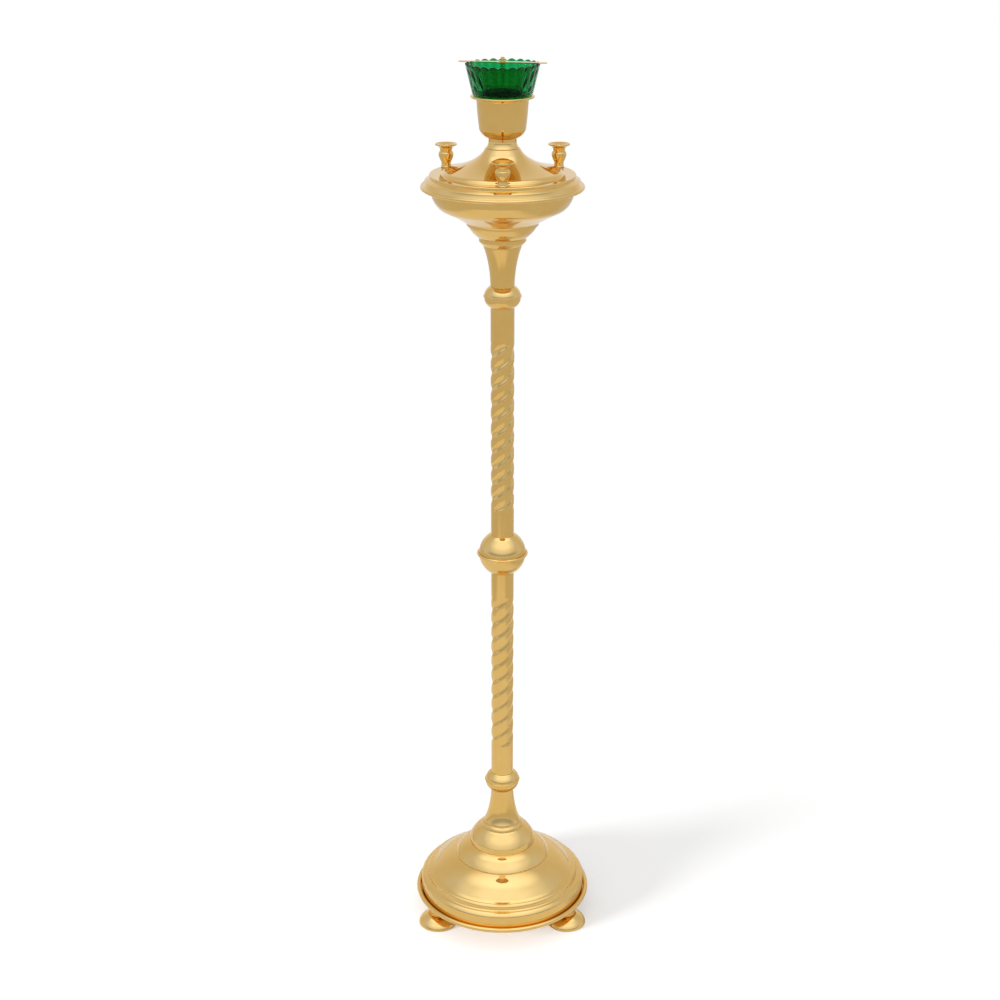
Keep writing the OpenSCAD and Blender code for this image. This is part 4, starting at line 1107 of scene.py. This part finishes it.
@dataclass
class Lamp:
    """Cup on its foot, the fluted green glass and the wick bar across its rim."""

    shop: Workshop
    bore_r: float = 4.3
    foot_r: float = 16.3
    foot_edge: float = 0.6
    foot_turn: Point = (13.5, 4.5)
    neck: Point = (14.5, 10.0)
    cup_wall: float = 1.2
    cup_bottom_r: float = 14.8
    cup_turn: Point = (20.9, 2.0)
    wall_low: Point = (23.5, 8.5)
    wall_top: Point = (26.1, 36.2)
    cup_swell: float = 0.2
    flare_turn: Point = (26.4, 39.4)
    flange_in: Point = (28.8, 40.3)
    cup_bead_r: float = 31.0
    cup_bead: float = 1.2
    glass_bottom: Point = (21.2, -26.0)
    plug_r: float = 23.8
    shoulder_r: float = 29.3
    glass_foot: Point = (30.5, 3.0)
    glass_high: Point = (36.4, 27.6)
    glass_rim: Point = (37.5, 32.0)
    glass_wall: float = 3.0
    throat: Point = (22.4, 3.0)
    glass_floor: Point = (18.2, -21.0)
    flutes: int = 24
    flute_depth: float = 0.8
    scallop: float = 2.2
    flute_segments: int = 12
    foot_swell: float = 0.5
    rise_span: Point = (3.0, 0.4)
    glass_round: float = 1.3
    glass_step: float = 1.2
    nipple: Point = (3.5, 0.8)
    tube_r: float = 2.2
    post_r: float = 2.0
    wick_r: float = 1.5
    tube_drop: float = 8.0
    bar_t: float = 0.9
    nipple_h: float = 4.4
    wick_round: float = 0.2

    def cup_foot(self) -> Points:
        """Returns the outline of the cup's foot."""
        line = Profile(self.bore_r, 0).line((self.foot_r, 0), (self.foot_r, self.foot_edge))
        return line.curve(self.foot_turn, self.neck).line((self.bore_r, self.neck[1])).fine

    def cup(self) -> Points:
        """Returns the outline of the cup with its beaded flange."""
        line = Profile(self.bore_r, 0).line((self.cup_bottom_r, 0)).curve(self.cup_turn, self.wall_low)
        line.bow(self.wall_top, self.cup_swell)
        line.curve(self.flare_turn, self.flange_in).line((self.cup_bead_r, self.flange_in[1]))
        middle = (self.cup_bead_r, self.flange_in[1] + self.cup_wall / 2)
        return beaded(line.fine, line.inner(self.cup_wall), middle, self.cup_bead)

    def wick_tube(self) -> Points:
        """Returns the outline of the wick tube with its nipple."""
        nipple_r, edge = self.nipple
        top = self.bar_t + self.nipple_h
        return Profile(self.wick_r, -self.tube_drop).line(
            (self.tube_r, -self.tube_drop), (self.tube_r, self.bar_t), (nipple_r, self.bar_t),
            (nipple_r, self.bar_t + edge), (self.post_r, self.bar_t + edge), (self.post_r, top),
            (self.wick_r, top)).fine

    def glass_blank(self) -> Points:
        """Returns the outline of the glass before it is fluted."""
        rim_r, rim_z = self.glass_rim
        line = Profile(0, self.glass_bottom[1])
        line.line(self.glass_bottom, (self.plug_r, 0), (self.shoulder_r, 0))
        line.line(self.glass_foot, self.glass_high, self.glass_rim, (rim_r - self.glass_wall, rim_z))
        return line.line(self.throat, self.glass_floor, (0, self.glass_floor[1])).fine

    def glass_tree(self) -> GrowingTree:
        """Returns the tree that presses flutes and a scalloped rim into the blank."""
        sizes = {"Flute Depth": self.flute_depth * MM, "Scallop Height": self.scallop * MM}
        counts = {"Flutes": self.flutes}
        grower = GrowingTree("press_flutes", sizes, counts, self.shop.finishes.glass, takes_mesh=True)
        given, calc, add = grower.given, grower.sketch.math, grower.sketch.add
        spot = grower.spot()
        angle = calc("ARCTAN2", spot[1], spot[0])
        wave = calc("COSINE", calc("MULTIPLY", angle, calc("DIVIDE", given["Flutes"], 2.0)))
        valley = calc("SUBTRACT", 1.0, calc("ABSOLUTE", wave))
        swell, rise = (add("GeometryNodeInputNamedAttribute", {"Name": name}, data_type="FLOAT").outputs[0]
                       for name in ("swell", "rise"))
        inward = grower.sketch.product(swell, given["Flute Depth"], valley, -1.0)
        drop = grower.sketch.product(rise, given["Scallop Height"], valley, -1.0)
        pressed = add("GeometryNodeSetPosition", {
            0: given["Geometry"], "Offset": grower.polar(inward, angle, drop)})
        grower.close(pressed.outputs[0])
        return grower

    def glass(self) -> Piece:
        """Makes the glass: a turned blank whose flutes, scallops and painted lighter hollows follow shares kept at
        its points.
        """
        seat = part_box("lamp_glass")[0].z / MM - self.glass_bottom[1]
        outline = [p + (0, seat) for p in self.refined(rounded(self.glass_blank(), self.glass_round))]
        piece = lathe("fluted_lamp_glass", outline, (0.0, 0.0), self.flutes * self.flute_segments)
        x, y, height = places(piece.data).T / MM
        height = height - seat
        (rim_r, rim_z), (throat_r, throat_z) = self.glass_rim, self.throat
        wall = np.interp(height, [throat_z, rim_z], [throat_r, rim_r - self.glass_wall])
        outer = np.clip((np.hypot(x, y) - wall) / self.glass_wall, 0, 1)
        heights = [0, self.glass_foot[1], self.glass_high[1]]
        swell = outer * np.interp(height, heights, [0, self.foot_swell, 1])
        rise = np.interp(height, [rim_z - share * self.scallop for share in self.rise_span], [0, 1])
        # Share of each point in a flute hollow, which the glass's tint uses to paint the hollows lighter.
        hollow = 1 - np.abs(np.cos(np.arctan2(y, x) * self.flutes / 2))
        for name, share in (("swell", swell), ("rise", rise), (GreenGlass.painted_hollow_light, hollow)):
            attribute = piece.data.attributes.new(name, "FLOAT", "POINT")
            attribute.data.foreach_set("value", share.astype(np.float32))
        piece.data.attributes.remove(piece.data.attributes["custom_normal"])
        return self.glass_tree().grow(piece)

    def refined(self, outline: Outline) -> Points:
        """Returns a line with more points, so that no stretch is longer than the glass's step."""
        points = [outline[0]]
        for p, q in zip(outline, outline[1:]):
            pieces = max(1, math.ceil(np.linalg.norm(q - p) / self.glass_step))
            points += [p + (q - p) * k / pieces for k in range(1, pieces + 1)]
        return points

    def build(self) -> None:
        """Makes and dresses the pieces of the lamp."""
        self.shop.turn("cup_foot", self.cup_foot())
        self.shop.turn("lamp_cup", self.cup())
        dress(self.glass(), Body.GLASS, "lamp_glass")
        self.shop.turn("wick_tube", self.wick_tube(), body=Body.WICK, edge=self.wick_round)
        self.shop.keep(self.shop.finishes.flat_brass, "wick_bar")
        self.shop.keep(self.shop.finishes.steel, "cup_washer", "cup_nut")


# Studio


@dataclass
class KeyLight:
    """Soft lamp far to the left that throws the stand's shadow; polished metal doesn't mirror it."""

    name: str = "key_light"
    bearing: float = -60.0
    height: float = 13.0
    spread: float = 20.0
    strength: float = 4.2

    def build(self) -> None:
        """Hangs the lamp as a distant disc of light."""
        lamp = bpy.data.lights.new(self.name, "SUN")
        lamp.angle, lamp.energy = math.radians(self.spread), self.strength
        stand = link(lamp, self.name)
        stand.rotation_euler = (math.radians(90 - self.height), 0.0, math.radians(self.bearing))
        stand.visible_glossy = False


@dataclass(frozen=True)
class SoftBox:
    """Soft patch of light in the surroundings, wider than it is high.

    The edges are cosines of the angles from the aim where the light starts and where it is full.
    """

    aim: Triple
    edges: Point
    gain: float
    squeeze: float = 0.6

    def glow(self, sketch: NodeSketch, direction: Socket) -> Socket:
        """Returns the patch's light in a direction."""
        narrow = sketch.vector("MULTIPLY", direction, (self.squeeze, 1, 1)).outputs[0]
        even = sketch.vector("NORMALIZE", narrow).outputs[0]
        towards = sketch.vector("DOT_PRODUCT", even, self.aim).outputs["Value"]
        return sketch.spread(towards, *self.edges, 0.0, self.gain)


@dataclass
class Studio:
    """Pale floor with a painted pool of light that only the metal mirrors, soft surroundings, one key light and a
    camera.

    The camera and the glass see floor and surroundings white, the metal mirrors them toned.
    """

    floor_r: float = 6.0
    floor_t: float = 0.001
    floor_segments: int = 96
    floor_tone: float = 0.78
    floor_drift: float = 0.005
    drift_scale: float = 3.0
    drift_span: Point = (0.3, 0.7)
    floor_rough: float = 0.9
    floor_lift: float = 0.40
    lift_radii: Point = (0.5, 1.1)
    # Painted pool of light: the floor that the metal mirrors is painted lighter in this patch in front of the
    # stand, and darker outside it.
    lit_pool_left: Point = (-1.0, -0.55)
    lit_pool_right: Point = (0.18, 0.68)
    lit_pool_front: Point = (-1.35, -0.80)
    mirrored_lit_pool: float = 1.22
    mirrored_room: float = 0.93
    front_tone: float = 0.70
    back_tone: float = 0.85
    back_span: Point = (0.6, 1.0)
    front_dip: float = 0.25
    dip_span: Point = (-0.6, 0.0)
    dip_heights: tuple[float, float, float, float] = (-0.02, 0.05, 0.12, 0.28)
    boxes: tuple[SoftBox, ...] = (
        SoftBox(aim=(0.0, -0.5, 0.866), edges=(0.50, 0.92), gain=0.34, squeeze=0.8),
        SoftBox(aim=(0.0, -0.53, 0.848), edges=(0.86, 0.985), gain=0.2),
        SoftBox(aim=(0.0, 0.12, 0.993), edges=(0.90, 0.99), gain=0.42))
    cool: Triple = (1.0, 1.11, 1.45)
    cool_span: Point = (0.1, 0.6)
    soft_share: float = 0.6
    key: KeyLight = field(default_factory=KeyLight)
    camera_place: Triple = (-0.0026, -1.8, 1.2)
    camera_pitch: float = 0.3674
    lens: float = 64.28
    sensor: float = 36.0

    @staticmethod
    def rays(sketch: NodeSketch) -> tuple[Socket, Socket]:
        """Returns whether a ray comes from the camera or through glass, and whether a surface mirrors it."""
        rays = sketch.add("ShaderNodeLightPath").outputs
        seen = sketch.math("MAXIMUM", rays["Is Camera Ray"], rays["Is Transmission Ray"])
        return seen, rays["Is Glossy Ray"]

    def floor(self) -> None:
        """Lays the floor, a wide disc that shows white to the camera and keeps shadows."""
        radius, low = self.floor_r / MM, -self.floor_t / MM
        disc = Profile(0, low).line((radius, low), (radius, 0), (0, 0)).fine
        piece = lathe("studio_floor", disc, (0.0, 0.0), self.floor_segments)
        material, sketch, shader = new_material("pale_studio_floor")
        place = sketch.add("ShaderNodeTexCoord").outputs["Object"]
        x, y, _ = sketch.add("ShaderNodeSeparateXYZ", {0: place}).outputs
        seen, glossy = self.rays(sketch)
        drift = sketch.spread(
            sketch.noise(place, self.drift_scale, detail=2.0), *self.drift_span,
            self.floor_tone - self.floor_drift, self.floor_tone + self.floor_drift)
        # Painted pool of light: the floor mirrored in the metal is lighter inside this patch.
        lit_pool = sketch.product(
            sketch.spread(x, *self.lit_pool_left, 0.0, 1.0), sketch.spread(x, *self.lit_pool_right, 1.0, 0.0),
            sketch.spread(y, *self.lit_pool_front, 0.0, 1.0))
        share = sketch.spread(lit_pool, 0.0, 1.0, self.mirrored_room, self.mirrored_lit_pool)
        tone = sketch.math("MINIMUM", sketch.product(drift, sketch.choose(glossy, 1.0, share)), 1.0)
        sketch.fill(shader, {
            "Base Color": sketch.add("ShaderNodeCombineColor", {0: tone, 1: tone, 2: tone}).outputs[0],
            "Roughness": self.floor_rough, "Specular IOR Level": 0.0})
        lift = sketch.product(seen, self.floor_lift)
        glow = sketch.add("ShaderNodeEmission", {"Strength": lift}).outputs[0]
        lifted = sketch.add("ShaderNodeAddShader", {0: shader.outputs[0], 1: glow}).outputs[0]
        white = sketch.add("ShaderNodeEmission", {"Strength": 1.0}).outputs[0]
        far = sketch.spread(sketch.vector("LENGTH", place).outputs["Value"], *self.lift_radii, 0.0, 1.0)
        mixed = sketch.add("ShaderNodeMixShader", {0: sketch.product(far, seen), 1: lifted, 2: white})
        sketch.fill(sketch.tree.nodes["Material Output"], {"Surface": mixed.outputs[0]})
        piece.data.materials.append(material)

    def surroundings(self) -> None:
        """Sets the studio around the stand: white where it is seen, a dimmer room with soft boxes in the metal."""
        world = bpy.data.worlds.new("white_studio")
        bpy.context.scene.world = world
        world.use_nodes = True
        sketch = NodeSketch(world.node_tree)
        direction = sketch.add("ShaderNodeTexCoord").outputs["Generated"]
        _, y, z = sketch.add("ShaderNodeSeparateXYZ", {0: direction}).outputs
        even = sketch.spread(y, *self.back_span, self.front_tone, self.back_tone)
        rise, full, fading, gone = self.dip_heights
        dip = sketch.product(
            sketch.spread(z, rise, full, 0.0, self.front_dip), sketch.spread(z, fading, gone, 1.0, 0.0),
            sketch.spread(y, *self.dip_span, 1.0, 0.0))
        tone = sketch.math("SUBTRACT", even, dip)
        for box in self.boxes:
            tone = sketch.math("ADD", tone, box.glow(sketch, direction))
        seen, glossy = self.rays(sketch)
        tone = sketch.product(tone, sketch.spread(glossy, 0.0, 1.0, self.soft_share, 1.0))
        chill = sketch.product(glossy, sketch.spread(y, *self.cool_span, 1.0, 0.0))
        sketch.fill(world.node_tree.nodes["Background"], {
            "Strength": sketch.choose(seen, tone, 1.0), "Color": sketch.blend(chill, WHITE, self.cool)})

    def camera(self) -> None:
        """Stands the camera close to the photograph's view, without its lens shift."""
        camera = bpy.data.cameras.new("photo_camera")
        camera.lens, camera.sensor_width = self.lens, self.sensor
        stand = link(camera, "photo_camera")
        stand.location = self.camera_place
        stand.rotation_euler = (math.pi / 2 - self.camera_pitch, 0.0, 0.0)
        bpy.context.scene.camera = stand

    def build(self) -> None:
        """Sets up the whole studio."""
        self.camera()
        self.floor()
        self.surroundings()
        self.key.build()
        bpy.context.scene.view_settings.view_transform = "Standard"


def main() -> None:
    """Builds the stand's sub-assemblies in order, then the studio."""
    logging.basicConfig(level=logging.INFO, format="%(message)s")
    shop = Workshop(Finishes())
    for assembly in (Base(shop), Column(shop), Head(shop), Lamp(shop), Studio()):
        LOG.info("building %s", type(assembly).__name__)
        assembly.build()


if __name__ == "__main__":
    main()
